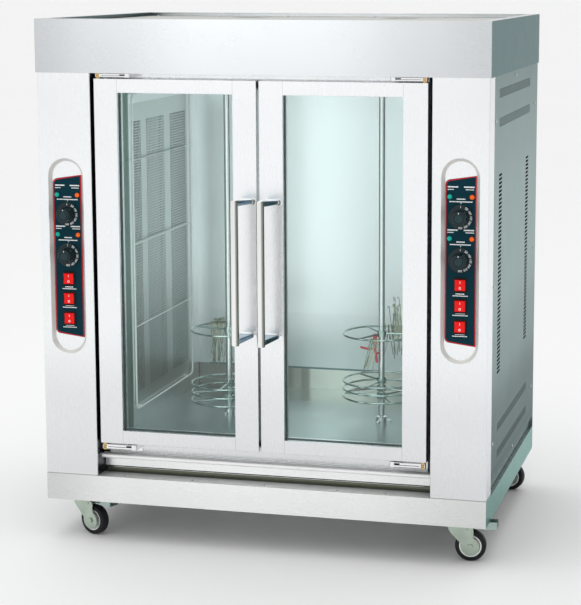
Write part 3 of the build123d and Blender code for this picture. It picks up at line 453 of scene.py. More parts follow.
MAT = {
    "front": steel("satin_front", (0.93, 0.94, 0.945), 0.27, "z", extra=front_painted_shade),
    "post": steel("satin_post", (0.92, 0.94, 0.95), 0.27, "z", tint=0.015, extra=post_seam_and_painted_shade),
    "door": steel("satin_door", (0.92, 0.935, 0.945), 0.27, "z", tint=0.015, extra=door_marks),
    "frontx": steel("satin_front_x", (0.93, 0.945, 0.94), 0.27, "x", extra=base_painted_light),
    # a dull olive steel for the dark strip behind the ledge, standing for painted shade
    "ledge": steel("ledge_shadow_olive", (0.34, 0.35, 0.28), 0.5, "x"),
    # the side sheets are a darker teal copy of the front stainless, as painted shade
    "side": steel("satin_side_shaded", (0.42, 0.50, 0.495), 0.30, "z", tint=0.04, extra=side_painted_shade),
    "header": steel("satin_header", (0.79, 0.82, 0.84), 0.26, "x", tint=0.015, extra=header_painted_shade),
    "cover": steel("top_sheet", (0.55, 0.57, 0.53), 0.35, "x"),
    "frame": steel("frame_steel", (0.42, 0.43, 0.43), 0.5, "all", extra=gap_painted_shade),
    "liner": steel("polished_liner", (0.91, 0.94, 0.945), 0.30, "z", tint=0.03, extra=liner_painted_shade_and_reflection),
    # the chamber floor is a darker teal copy of the liner stainless, as painted shade
    "floor": steel("chamber_floor", (0.42, 0.51, 0.50), 0.30, "y", tint=0.08, cloud=5.0, smudge=0.06),
    "sheet": steel("punched_sheet", (0.67, 0.725, 0.705), 0.30, "z", tint=0.04),
    "chrome": chrome("chrome_bright"),
    "hinge": chrome("hinge_chrome", extra=brass_pins, rough=0.12),
    "handle": chrome("handle_chrome", (0.90, 0.90, 0.89), 0.08, extra=handle_painted_shade_and_reflection),
    # painted light: the bright wires glow a little, though they are no lamp
    "wire": plastic("wire_bright_glowing", (0.86, 0.91, 0.89), 0.3, grain=500.0, bump=0.02, var=0.04, glow=0.10),
    "ring": chrome("ring_wire", (0.60, 0.71, 0.67), 0.10),
    "hook": chrome("hook_wire", (0.50, 0.53, 0.41), 0.24),
    "spit": chrome("spit_bright", (0.88, 0.90, 0.89), 0.24),
    "glass": pane("door_pane", (0.93, 0.972, 0.968)),
    "gasket": plastic("gasket_black", (0.02, 0.02, 0.022), 0.6),
    "glazing": plastic("glazing_strip", (0.012, 0.060, 0.052), 0.5),
    "quartz": plastic("quartz_milky", (0.75, 0.76, 0.74), 0.3),
    "insulation": plastic("fibre", (0.010, 0.011, 0.011), 0.95, 90, 0.5, spec=0.1),
    "motor": plastic("motor_enamel", (0.05, 0.055, 0.06), 0.35),
    "zinc": steel("zinc_plate", (0.42, 0.49, 0.42), 0.24, "all", tint=0.30, cloud=30.0),
    "rim": steel("rim_bright", (0.93, 0.95, 0.93), 0.42, "all"),
    "pedal": steel("pedal_zinc", (0.36, 0.46, 0.43), 0.28, "all", tint=0.15, cloud=20.0),
    "overlay": plastic("overlay_face", (0.001, 0.032, 0.048), 0.4, var=0.1, grain=900.0, bump=0.02, spec=0.08),
    "line": plastic("overlay_red", (0.60, 0.010, 0.018), 0.4, bump=0.02, spec=0.2),
    # painted light: the white print glows a little
    "print": plastic("white_print_glowing", (0.88, 0.90, 0.90), 0.5, bump=0.02, var=0.04, glow=0.15),
    "lens_g": plastic("lens_green", (0.0, 0.33, 0.26), 0.2, grain=700, bump=0.05, spec=0.3, glow=0.3),
    "lens_o": plastic("lens_orange", (0.80, 0.115, 0.004), 0.2, grain=700, bump=0.05, spec=0.3, glow=0.25),
    "phenolic": plastic("moulded_tan", (0.60, 0.57, 0.50), 0.5),
    "black": plastic("black_moulded", (0.006, 0.009, 0.010), 0.4, spec=0.25),
    # painted light: the red rockers glow a little
    "red": plastic("red_moulded_glowing", (0.78, 0.004, 0.003), 0.3, spec=0.22, glow=0.12, var=0.06),
    # painted light: the red clip glows a little
    "clip": plastic("red_clip_glowing", (0.70, 0.085, 0.095), 0.35, glow=0.10),
    "knob": plastic("knob_black", (0.002, 0.016, 0.021), 0.22, spec=0.36),
    "cap": plastic("knob_cap", (0.004, 0.030, 0.036), 0.25, spec=0.4),
    "tyre": plastic("tyre_black", (0.006, 0.007, 0.009), 0.5, 240, 0.2, spec=0.3),
    "screw": steel("screw_bright", (0.62, 0.63, 0.63), 0.25, "all"),
}
baffle_rough(MAT["liner"])


def rougher(mat, where, amount):
    """Adds to a steel's roughness in one place."""
    n = N.__new__(N)
    n.t = mat.node_tree
    b = next(k for k in n.t.nodes if k.type == "BSDF_PRINCIPLED")
    old = b.inputs["Roughness"].links[0].from_socket
    x, y, z = axes(n)
    n.link(n.math("ADD", old, n.math("MULTIPLY", where(n, x, y, z), amount), clamp=True), b.inputs["Roughness"])


rougher(MAT["post"], lambda n, x, y, z: n.math("MULTIPLY", recess_zone(n, x), between(n, y, 0.4, 9.4, 0.4)), 0.45)
rougher(MAT["frontx"], lambda n, x, y, z: n.math("MULTIPLY", between(n, y, 2.0, 60.0, 1.0), between(n, z, 165.0, 167.0, 0.3)), 0.35)
rougher(MAT["frontx"], lambda n, x, y, z: n.math("MULTIPLY", between(n, y, 18.0, 44.0, 1.0), between(n, z, 204.0, 218.0, 0.5)), 0.4)


def painted_shade_tint(mat, col, sides_only=True):
    """Painted shade in the steel's edge tint: the reflection seen almost edge on is darkened on faces turned along x,
    or, with sides_only off, towards the bottom and the top.
    """
    n = N.__new__(N)
    n.t = mat.node_tree
    b = next(k for k in n.t.nodes if k.type == "BSDF_PRINCIPLED")
    if not sides_only:
        x, y, z = axes(n)
        k = level(n, z, 160, 1160, ((160, 0.54), (330, 0.62), (480, 0.86), (650, 1.0), (860, 1.0), (1000, 0.92), (1090, 0.84), (1160, 0.78)))
        n.link(n.mixc(1.0, col, k, "MULTIPLY"), b.inputs["Specular Tint"])
        return
    side = between(n, n.math("ABSOLUTE", normal_x(n)), 0.6, 2.0, 0.2)
    n.link(n.mixc(side, (1, 1, 1), col), b.inputs["Specular Tint"])


# painted shade in the edge tint of the header's and the base's side faces and of the side sheets
painted_shade_tint(MAT["header"], (0.37, 0.45, 0.455))
painted_shade_tint(MAT["frontx"], (0.55, 0.75, 0.717))
painted_shade_tint(MAT["side"], (0.64, 0.72, 0.717), False)
SLOT_MAT = {
    "front_stainless": "front", "side_stainless": "side", "header_stainless": "header", "frame_steel": "frame",
    "liner_stainless": "liner", "chrome": "chrome", "glass": "glass", "gasket": "gasket", "quartz": "quartz",
    "insulation": "insulation", "motor": "motor", "zinc": "zinc", "wire": "wire", "overlay": "overlay", "lamp": "lens_o",
    "thermostat": "phenolic", "black_plastic": "black", "red_plastic": "red", "knob": "knob", "tyre": "tyre", "screw": "screw",
}
NODE_MAT = {
    "front_post_left": "post", "front_post_right": "post", "door_surround": "post", "door_frame_left": "door",
    "door_frame_right": "door", "top_cover": "cover", "cavity_floor": "floor", "hinge_brackets": "hinge",
    "door_handle_left": "handle", "door_handle_right": "handle", "drip_tray": "frontx", "base_band": "frontx",
    "spindle_left": "spit", "spindle_right": "spit", "brake_pedal_front_left": "pedal", "brake_pedal_front_right": "pedal",
}
slot_of = {s["node"]: s["material_slot"] for s in frame["record"]["subparts"]}
for name, o in NODES.items():
    o.data.materials.clear()
    o.data.materials.append(MAT[NODE_MAT.get(name) or SLOT_MAT[slot_of[name]]])

# small rounded edges on folded and moulded pieces
for name, width in (("base_band", 0.7), ("drip_tray", 0.6), ("switch_housings", 0.5), ("cable_gland", 0.5), ("top_cover", 0.4)):
    md = NODES[name].modifiers.new("edge", "BEVEL")
    md.width = width * MM
    md.segments = 2
    md.limit_method = "ANGLE"
    md.angle_limit = math.radians(40)
for name in NODES:
    if name.startswith(("rocker_", "caster_fork_", "brake_pedal_")):
        md = NODES[name].modifiers.new("edge", "BEVEL")
        md.width = 0.6 * MM
        md.segments = 2
        md.limit_method = "ANGLE"
        md.angle_limit = math.radians(40)


# ---------------------------------------------------------------- mesh building, in the cabinet's millimetres
def unit(v):
    return Vector(v).normalized()


class M:
    """Collects faces of one piece and builds its object."""

    def __init__(self):
        self.v, self.f, self.mi, self.sm = [], [], [], []

    def add(self, verts, faces, mat=0, smooth=False):
        o = len(self.v)
        self.v += [tuple(p) for p in verts]
        for f in faces:
            self.f.append(tuple(i + o for i in f))
            self.mi.append(mat)
            self.sm.append(smooth)

    def box(self, x0, x1, y0, y1, z0, z1, b=0.0, mat=0):
        c = Vector(((x0 + x1) / 2, (y0 + y1) / 2, (z0 + z1) / 2))
        h = Vector(((x1 - x0) / 2, (y1 - y0) / 2, (z1 - z0) / 2))
        if b <= 0:
            vs = [c + Vector((sx * h.x, sy * h.y, sz * h.z)) for sx in (-1, 1) for sy in (-1, 1) for sz in (-1, 1)]
            self.add(vs, [(0, 1, 3, 2), (4, 6, 7, 5), (0, 4, 5, 1), (2, 3, 7, 6), (0, 2, 6, 4), (1, 5, 7, 3)], mat)
            return
        vs, idx = [], {}
        for sx in (-1, 1):
            for sy in (-1, 1):
                for sz in (-1, 1):
                    for k in range(3):
                        d = [h.x - b, h.y - b, h.z - b]
                        d[k] = h[k]
                        idx[sx, sy, sz, k] = len(vs)
                        vs.append(c + Vector((sx * d[0], sy * d[1], sz * d[2])))
        fs = []
        q = ((-1, -1), (1, -1), (1, 1), (-1, 1))
        for s in (-1, 1):
            fs.append([idx[s, a, e, 0] for a, e in q])
            fs.append([idx[a, s, e, 1] for a, e in q])
            fs.append([idx[a, e, s, 2] for a, e in q])
        for a in (-1, 1):
            for e in (-1, 1):
                fs.append([idx[a, e, -1, 0], idx[a, e, 1, 0], idx[a, e, 1, 1], idx[a, e, -1, 1]])
                fs.append([idx[a, -1, e, 0], idx[a, 1, e, 0], idx[a, 1, e, 2], idx[a, -1, e, 2]])
                fs.append([idx[-1, a, e, 1], idx[1, a, e, 1], idx[1, a, e, 2], idx[-1, a, e, 2]])
        for key in ((x, y, z) for x in (-1, 1) for y in (-1, 1) for z in (-1, 1)):
            fs.append([idx[key + (k,)] for k in range(3)])
        self.add(vs, fs, mat)

    def lathe(self, prof, o, a, seg=48, mat=0, smooth=True, mod=None, ring=False):
        """prof is (radius, height) pairs from o along a; mod(angle, radius, height) may change a radius; ring closes the profile on itself."""
        a = unit(a)
        u = a.orthogonal().normalized()
        if abs(a.y) > 0.9:
            u = Vector((1, 0, 0))
        w = a.cross(u)
        o = Vector(o)
        rows, vs = [], []
        for r, h in prof:
            if r < 1e-6:
                rows.append([len(vs)])
                vs.append(o + a * h)
                continue
            row = []
            for i in range(seg):
                t = 2 * math.pi * i / seg
                rr = mod(t, r, h) if mod else r
                row.append(len(vs))
                vs.append(o + a * h + (u * math.cos(t) + w * math.sin(t)) * rr)
            rows.append(row)
        fs = []
        pairs = list(zip(rows, rows[1:])) + ([(rows[-1], rows[0])] if ring else [])
        for p, q in pairs:
            for i in range(seg):
                j = (i + 1) % seg
                if len(p) == 1 and len(q) == 1:
                    continue
                if len(p) == 1:
                    fs.append((p[0], q[j], q[i]))
                elif len(q) == 1:
                    fs.append((p[i], p[j], q[0]))
                else:
                    fs.append((p[i], p[j], q[j], q[i]))
        if not ring:
            if len(rows[0]) > 1:
                fs.append(tuple(reversed(rows[0])))
            if len(rows[-1]) > 1:
                fs.append(tuple(rows[-1]))
        self.add(vs, fs, mat, smooth)

    def tube(self, pts, r, seg=10, closed=False, mat=0):
        pts = [Vector(p) for p in pts]
        k = len(pts)
        tang = []
        for i in range(k):
            a = pts[(i - 1) % k] if closed or i else pts[0]
            b = pts[(i + 1) % k] if closed or i < k - 1 else pts[-1]
            tang.append((b - a).normalized())
        nrm = tang[0].orthogonal().normalized()
        vs, fs = [], []
        frames = []
        for i in range(k):
            nrm = (nrm - tang[i] * nrm.dot(tang[i])).normalized()
            frames.append((nrm.copy(), tang[i].cross(nrm)))
        twist = 0.0
        if closed:
            n0 = frames[0][0]
            last = (frames[-1][0] - tang[0] * frames[-1][0].dot(tang[0])).normalized()
            twist = math.atan2(last.cross(n0).dot(tang[0]), last.dot(n0))
        for i in range(k):
            u, w = frames[i]
            off = twist * i / k
            for j in range(seg):
                t = 2 * math.pi * j / seg + off
                vs.append(pts[i] + (u * math.cos(t) + w * math.sin(t)) * r)
        for i in range(k if closed else k - 1):
            p, q = i * seg, ((i + 1) % k) * seg
            for j in range(seg):
                jj = (j + 1) % seg
                fs.append((p + j, p + jj, q + jj, q + j))
        if not closed:
            fs.append(tuple(reversed(range(seg))))
            fs.append(tuple((k - 1) * seg + j for j in range(seg)))
        self.add(vs, fs, mat, True)

    def prism(self, outline, put, a0, a1, mat=0, smooth=False):
        """outline is (u, v) pairs; put(u, v, w) gives the point; the prism runs from w = a0 to a1."""
        k = len(outline)
        vs = [put(u, v, a0) for u, v in outline] + [put(u, v, a1) for u, v in outline]
        fs = [tuple(reversed(range(k))), tuple(range(k, 2 * k))]
        fs += [(i, (i + 1) % k, k + (i + 1) % k, k + i) for i in range(k)]
        self.add(vs, fs, mat, smooth)

    def band(self, outer, inner, put, a0, a1, mat=0):
        """A flat closed strip between two outlines with the same number of points."""
        k = len(outer)
        vs = []
        for w in (a0, a1):
            vs += [put(u, v, w) for u, v in outer] + [put(u, v, w) for u, v in inner]
        fs = []
        for i in range(k):
            j = (i + 1) % k
            fs.append((i, j, k + j, k + i))
            fs.append((2 * k + j, 2 * k + i, 3 * k + i, 3 * k + j))
            fs.append((j, i, 2 * k + i, 2 * k + j))
            fs.append((k + i, k + j, 3 * k + j, 3 * k + i))
        self.add(vs, fs, mat)

    def glyph(self, text, size, put, w0, w1, mat=0):
        """Plain numerals, upright and centred on (0, 0)."""
        cu = bpy.data.curves.new("glyph", "FONT")
        cu.body, cu.size = text, size
        cu.align_x, cu.align_y = "CENTER", "CENTER"
        cu.resolution_u = 3
        ob = bpy.data.objects.new("glyph", cu)
        me = bpy.data.meshes.new_from_object(ob)
        k = len(me.vertices)
        flat = [(v.co.x, v.co.y) for v in me.vertices]
        used = {}
        fs = []
        for p in me.polygons:
            fs.append(tuple(p.vertices))
            for a, b in zip(p.vertices, list(p.vertices)[1:] + [p.vertices[0]]):
                used[a, b] = True
        top = [tuple(f) for f in fs]
        bot = [tuple(k + i for i in reversed(f)) for f in fs]
        side = [(b, a, k + a, k + b) for a, b in used if (b, a) not in used]
        self.add([put(u, v, w1) for u, v in flat] + [put(u, v, w0) for u, v in flat], top + bot + side, mat)
        bpy.data.objects.remove(ob)
        bpy.data.meshes.remove(me)
        bpy.data.curves.remove(cu)

    def make(self, name, mats, body, replaces=(), angle=34, xf=None, fix=True):
        me = bpy.data.meshes.new(name)
        vs = [xf(Vector(p)) for p in self.v] if xf else self.v
        me.from_pydata([P(*p) for p in vs], [], self.f)
        for m in mats:
            me.materials.append(MAT[m])
        me.polygons.foreach_set("material_index", self.mi)
        me.polygons.foreach_set("use_smooth", self.sm)
        me.update()
        if fix:
            bm = bmesh.new()
            bm.from_mesh(me)
            bmesh.ops.remove_doubles(bm, verts=bm.verts, dist=1e-7)
            bmesh.ops.recalc_face_normals(bm, faces=bm.faces)
            bm.to_mesh(me)
            bm.free()
        me.set_sharp_from_angle(angle=math.radians(angle))
        o = bpy.data.objects.new(name, me)
        sc.collection.objects.link(o)
        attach(o, body)
        if replaces:
            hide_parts(*replaces)
        return o


class Sheet:
    """A flat sheet with many holes, drawn in (u, v) and then given a thickness."""

    def __init__(self):
        self.ids, self.p, self.f = {}, [], []

    def vid(self, u, v):
        key = (round(u, 3), round(v, 3))
        if key not in self.ids:
            self.ids[key] = len(self.p)
            self.p.append((u, v))
        return self.ids[key]

    def face(self, pts):
        self.f.append([self.vid(*p) for p in pts])

    def cell(self, u0, u1, v0, v1):
        self.face([(u0, v0), (u1, v0), (u1, v1), (u0, v1)])

    def square(self, u0, u1, v0, v1, k):
        """A cell with a square hole whose side is k of the cell's."""
        du, dv = (u1 - u0) * (1 - k) / 2, (v1 - v0) * (1 - k) / 2
        c = [(u0, v0), (u1, v0), (u1, v1), (u0, v1)]
        h = [(u0 + du, v0 + dv), (u1 - du, v0 + dv), (u1 - du, v1 - dv), (u0 + du, v1 - dv)]
        for i in range(4):
            j = (i + 1) % 4
            self.face([c[i], c[j], h[j], h[i]])

    def hexhole(self, u0, u1, v0, v1, r):
        """A cell with an eight-sided hole of radius r."""
        cu, cv = (u0 + u1) / 2, (v0 + v1) / 2
        c = [(u0, v0), (u1, v0), (u1, v1), (u0, v1)]
        h = []
        for i in range(8):
            t = math.radians(-112.5 + 45 * i)
            h.append((cu + r * math.cos(t), cv + r * math.sin(t)))
        for i in range(4):
            j = (i + 1) % 4
            self.face([c[i], c[j], h[2 * i + 1], h[2 * i]])
            self.face([c[j], h[(2 * i + 2) % 8], h[2 * i + 1]])

    def strip(self, lower, upper):
        """One plain face between two polylines that share their first and last u."""
        self.face(list(lower) + list(reversed(upper)))

    def thick(self, m, put, w0, w1, mat=0):
        k = len(self.p)
        vs = [put(u, v, w0) for u, v in self.p] + [put(u, v, w1) for u, v in self.p]
        fs, seen = [], {}
        for f in self.f:
            fs.append(tuple(f))
            fs.append(tuple(k + i for i in reversed(f)))
            for a, b in zip(f, f[1:] + f[:1]):
                seen[a, b] = True
        fs += [(b, a, k + a, k + b) for a, b in seen if (b, a) not in seen]
        m.add(vs, fs, mat)


W = 1100.0


def mir(v):
    return Vector((W - v.x, v.y, v.z))


def zipper(s, a, b, k):
    """Triangles between two chains of (u, v) points; k is the coordinate along both chains. a lies left of or above b."""
    i = j = 0
    while i < len(a) - 1 or j < len(b) - 1:
        if j == len(b) - 1 or (i < len(a) - 1 and a[i + 1][k] <= b[j + 1][k]):
            s.face([a[i], b[j], a[i + 1]])
            i += 1
        else:
            s.face([a[i], b[j], b[j + 1]])
            j += 1


# ---------------------------------------------------------------- side panels: two slot columns, four perforated strips
FINE = [67.0] + [133 + 4.99 * k for k in range(101)] + [768.5]
COARSE = [67.0, FINE[2], FINE[11], FINE[89], FINE[98], 768.5]


def side_sheet():
    s = Sheet()

    def row(cols, v0, v1, hole=None):
        for c0, c1 in zip(cols, cols[1:]):
            if hole is None or not hole(s, c0, c1, v0, v1):
                s.cell(c0, c1, v0, v1)

    def join(lo_cols, v0, hi_cols, v1):
        zipper(s, [(c, v1) for c in hi_cols], [(c, v0) for c in lo_cols], 0)

    def perf(u0):
        def hole(s, c0, c1, v0, v1):
            if c0 < u0 - 0.1 or c1 > 632.5:
                return False
            s.square(c0, c1, v0, v1, 0.68)
            return True
        return hole

    def slots(s, c0, c1, v0, v1):
        return c0 in (COARSE[1], COARSE[3])

    def strip(v0, v1, rows, u0):
        h = (v1 - v0) / rows
        for i in range(rows):
            row(FINE, v0 + i * h, v0 + (i + 1) * h, perf(u0))

    join([67.0, 768.5], 191.0, FINE, VENTS[3] - 10)
    strip(VENTS[3] - 10, VENTS[3] + 10, 4, 145)
    row(FINE, VENTS[3] + 10, VENTS[2] - 10)
    strip(VENTS[2] - 10, VENTS[2] + 10, 4, 145)
    z = SLOT_Z0 - 49 * SLOT_P - 2.75
    join(FINE, VENTS[2] + 10, COARSE, z)
    for i in range(49, -1, -1):
        zc = SLOT_Z0 - i * SLOT_P
        row(COARSE, zc - 2.75, zc + 2.75, slots)
        if i:
            row(COARSE, zc + 2.75, zc + SLOT_P - 2.75)
    join(COARSE, SLOT_Z0 + 2.75, FINE, VENTS[1] - 11)
    strip(VENTS[1] - 11, VENTS[1] + 11, 5, 133)
    row(FINE, VENTS[1] + 11, VENTS[0] - 11)
    strip(VENTS[0] - 11, VENTS[0] + 11, 5, 133)
    join(FINE, VENTS[0] + 11, [67.0, 768.5], 1154.0)
    return s


VENTS = (1111.0, 1043.0, 307.0, 242.0)
SLOT_Z0, SLOT_P = 918.0, 9.67
SIDE = side_sheet()
for side, xf in (("left", None), ("right", mir)):
    m_ = M()
    SIDE.thick(m_, lambda u, v, w: (w, u, v), 0.0, 1.5)
    m_.box(1.5, 9.5, 67, 68.5, 191, 1154)
    m_.box(1.5, 9.5, 767, 768.5, 191, 1154)
    m_.box(1.5, 9.5, 68.5, 767, 193, 194.5)
    m_.make("side_sheet_" + side, ["side"], "cabinet", ["side_panel_" + side], xf=xf)

# ---------------------------------------------------------------- punched heater sheets and wire guards
def heater_sheet():
    """Three finely punched bands between plain strips."""
    s = Sheet()
    z0, z1 = 299.0, 1067.0
    zc = [z0] + [330.0 + 7 * i for i in range(100)] + [z1]

    def chain(u, zs):
        return [(u, z) for z in zs]

    def punched(u0, u1, cols, k):
        step = (u1 - u0) / cols
        for c in range(cols):
            a0, a1 = u0 + c * step, (u0 + (c + 1) * step if c < cols - 1 else u1)
            for i, (a, b) in enumerate(zip(zc, zc[1:])):
                if i in (0, len(zc) - 2):
                    s.cell(a0, a1, a, b)
                else:
                    s.square(a0, a1, a, b, k)

    zipper(s, chain(196, [z0, z1]), chain(213, zc), 1)
    punched(213.0, 271.0, 6, 0.66)
    for u0, u1 in ((271, 309), (447, 492)):
        for a, b in zip(zc, zc[1:]):
            s.cell(u0, u1, a, b)
    punched(309.0, 447.0, 14, 0.58)
    punched(492.0, 617.0, 15, 0.66)
    zipper(s, chain(617, zc), chain(630, [z0, z1]), 1)
    return s


HEAT = heater_sheet()


def rounded(u0, u1, v0, v1, r, n=7):
    pts = []
    for cu, cv, a in ((u1 - r, v0 + r, -90), (u1 - r, v1 - r, 0), (u0 + r, v1 - r, 90), (u0 + r, v0 + r, 180)):
        for i in range(n + 1):
            t = math.radians(a + 90 * i / n)
            pts.append((cu + r * math.cos(t), cv + r * math.sin(t)))
    return pts


for side, xf in (("left", None), ("right", mir)):
    m_ = M()
    HEAT.thick(m_, lambda u, v, w: (w, u, v), 161.0, 160.0)
    m_.make("punched_sheet_" + side, ["sheet"], "cabinet", ["heater_guards"], xf=xf)
    m_ = M()
    m_.tube([(169.0, u, v) for u, v in rounded(188, 632, 291, 1092, 16)], 2.5, 12, True)
    for zc in (503.0, 715.0, 927.0):
        m_.tube([(169.0, 188 + 444 * i / 6, zc) for i in range(7)], 2.0, 10)
    for yc in (228.0, 592.0):
        for zc in (291.5, 1091.5):
            m_.tube([(160.0, yc, zc), (164.0, yc, zc), (169.0, yc, zc)], 2.5, 10)
    m_.make("guard_wires_" + side, ["wire"], "cabinet", ["heater_guards"], xf=xf)

# ---------------------------------------------------------------- dark strip along the back of the ledge, under the tray, put there as painted shadow
m_ = M()
m_.box(138.0, 962.0, 71.0, 73.5, 166.0, 173.4)
m_.box(138.0, 962.0, 70.6, 73.7, 173.4, 177.0, 0.5, 1)
m_.make("ledge_shadow_strip", ["ledge", "gasket"], "cabinet")

# ---------------------------------------------------------------- spit baskets
SPIT_Y = 385.0
RINGS = {"left": (353.5, ((470, 170), (329, 152), (306, 205), (285, 95))),
         "right": (762.5, ((478, 125), (356, 140), (336, 98), (316, 178)))}
rnd = random.Random(11)


def bent(pts, r, n=4):
    """Rounds the corners of a polyline."""
    pts = [Vector(p) for p in pts]
    out = [pts[0]]
    for a, b, c in zip(pts, pts[1:], pts[2:]):
        d = min(r, (a - b).length * 0.45, (c - b).length * 0.45)
        p, q = b + (a - b).normalized() * d, b + (c - b).normalized() * d
        for i in range(n + 1):
            t = i / n
            out.append(p * (1 - t) ** 2 + b * 2 * t * (1 - t) + q * t * t)
    return out + [pts[-1]]


def hook_wire(m_, x, z, ang, lean, up, down, inner):
    """One wire hook over the ring: a long outer leg, a bend over the ring and a short inner tip."""
    a = math.radians(ang)
    er = Vector((math.cos(a), math.sin(a), 0))
    et = Vector((-math.sin(a), math.cos(a), 0))
    c = Vector((x, SPIT_Y, z))
    o = 3.7
    pts = [c + er * (98 - o) + Vector((0, 0, -inner)) + et * lean,
           c + er * (98 - o) + Vector((0, 0, o)),
           c + er * (98 + o) + Vector((0, 0, o)),
           c + er * (98 + o + 0.6) + Vector((0, 0, -down * 0.5)) + et * (lean * 1.2),
           c + er * (98 + o + 1.5) + Vector((0, 0, -down)) + et * (lean * 2.2)]
    m_.tube(bent(pts, 2.4), 1.1, 7, mat=1)


for side in ("left", "right"):
    x, rings = RINGS[side]
    m_ = M()
    for z, a0 in rings:
        ring = [(x + 98 * math.cos(math.tau * i / 96), SPIT_Y + 98 * math.sin(math.tau * i / 96), z) for i in range(96)]
        m_.tube(ring, 2.5, 10, True)
        for i in range(3):
            a = math.radians(a0 + 120 * i)
            m_.tube([(x + r * math.cos(a), SPIT_Y + r * math.sin(a), z) for r in (10, 40, 70, 97.5)], 2.5, 10)
        m_.lathe([(8.1, -8.5), (11.4, -8.5), (12, -7.9), (12, 7.9), (11.4, 8.5), (8.1, 8.5)], (x, SPIT_Y, z), (0, 0, 1), 40, ring=True)
    z = rings[0][0]
    if side == "left":
        for i in range(18):
            hook_wire(m_, x, z, 104 + 32 * i / 17 + rnd.uniform(-0.6, 0.6), rnd.uniform(-9, 9), 0, rnd.uniform(84, 126), rnd.uniform(22, 46))
        for i in range(9):
            a = math.radians(106 + 26 * i / 8)
            u, v = math.cos(a), math.sin(a)
            r = rnd.uniform(84, 92)
            loop = [(x + (r + 5 * math.cos(t)) * u, SPIT_Y + (r + 5 * math.cos(t)) * v, z + rnd.uniform(7, 8) + 7 * math.sin(t)) for t in (math.pi * 1.6 * j / 9 for j in range(10))]
            m_.tube(loop, 1.3, 7, mat=1)
    else:
        for i in range(15):
            hook_wire(m_, x, z, 56 + 40 * i / 14 + rnd.uniform(-0.8, 0.8), rnd.uniform(-8, 8), 0, rnd.uniform(64, 90), rnd.uniform(22, 40))
        for i in range(32):
            a = math.radians(44 + 42 * i / 31 + rnd.uniform(-1, 1))
            er, et = Vector((math.cos(a), math.sin(a), 0)), Vector((-math.sin(a), math.cos(a), 0))
            q = Vector((x, SPIT_Y, z)) + er * 92.5
            top = rnd.uniform(28, 62) if i % 6 else rnd.uniform(70, 84)
            lean = rnd.uniform(-11, 11)
            m_.tube(bent([q + Vector((0, 0, -28)) - et * lean * 0.3, q + Vector((0, 0, top)) + et * lean, q + Vector((0, 0, top + 2)) + et * (lean + 2) - er * 2,
                          q + Vector((0, 0, top - 4)) + et * (lean + 3.5) - er * 3], 1.4), 0.95, 7, mat=1)
        for i in range(6):
            hook_wire(m_, x, z, 267 + 2.2 * i, rnd.uniform(-15, -6), 0, rnd.uniform(66, 84), rnd.uniform(16, 26))
    m_.make("basket_" + side, ["ring", "hook"], "spit_" + side, ["basket_rings_" + side])

m_ = M()
m_.tube([(748.2, 369.5, 479.0), (748.4, 369.5, 476.0), (748.6, 369.5, 455.0), (749.0, 369.8, 447.0)], 5.0, 14)
m_.tube([(711.1, 365.0, 444.0), (722.0, 366.5, 441.0), (733.0, 367.6, 439.0), (744.0, 369.0, 439.5), (750.0, 369.8, 436.0)], 2.9, 12)
m_.tube([(748.8, 369.8, 449.0), (749.6, 369.8, 436.0), (751.2, 370.6, 422.0), (752.8, 371.6, 404.0)], 3.5, 12)
m_.tube([(751.6, 371.2, 428.0), (755.2, 375.4, 428.0), (757.6, 378.6, 428.0)], 2.6, 10)
m_.make("spit_clip", ["clip"], "spit_right")

# ---------------------------------------------------------------- control panels
PANELS = {"left": (67.0, 709.0), "right": (1033.0, 731.0)}
YF = 9.0
KNOB_DZ, LAMP_DZ, ROCKER_DZ = (103.0, 3.0), (150.0, 53.0), (-55.0, -104.0, -153.0)


def overlay_outline(inset):
    """The overlay's edge moved inward, rounded at the two left corners."""
    a, e = 36.5 - inset, 0.1507
    top_l, top_r = 188.5 - inset * 1.0, 199.5 - inset * 1.0
    bot_l, bot_r = -190.5 + inset * 1.0, -199.5 + inset * 1.0
    r = 12.0 - inset
    pts = []
    for cu, cv, s in ((-a, top_l, 1), (-a, bot_l, -1)):
        seq = []
        for i in range(9):
            t = math.radians(90 + 90 * i / 8)
            seq.append((cu + r + r * math.cos(t), cv - s * r + s * r * math.sin(t)))
        if s == -1:
            seq.reverse()
        slope = (top_r - top_l) / (2 * a) if s == 1 else (bot_r - bot_l) / (2 * a)
        seq = [(u, v + (slope * (u - cu) * 0.55 if u > cu + 1e-6 else 0)) for u, v in seq]
        pts += seq
    return pts + [(a, bot_r), (a, top_r)]


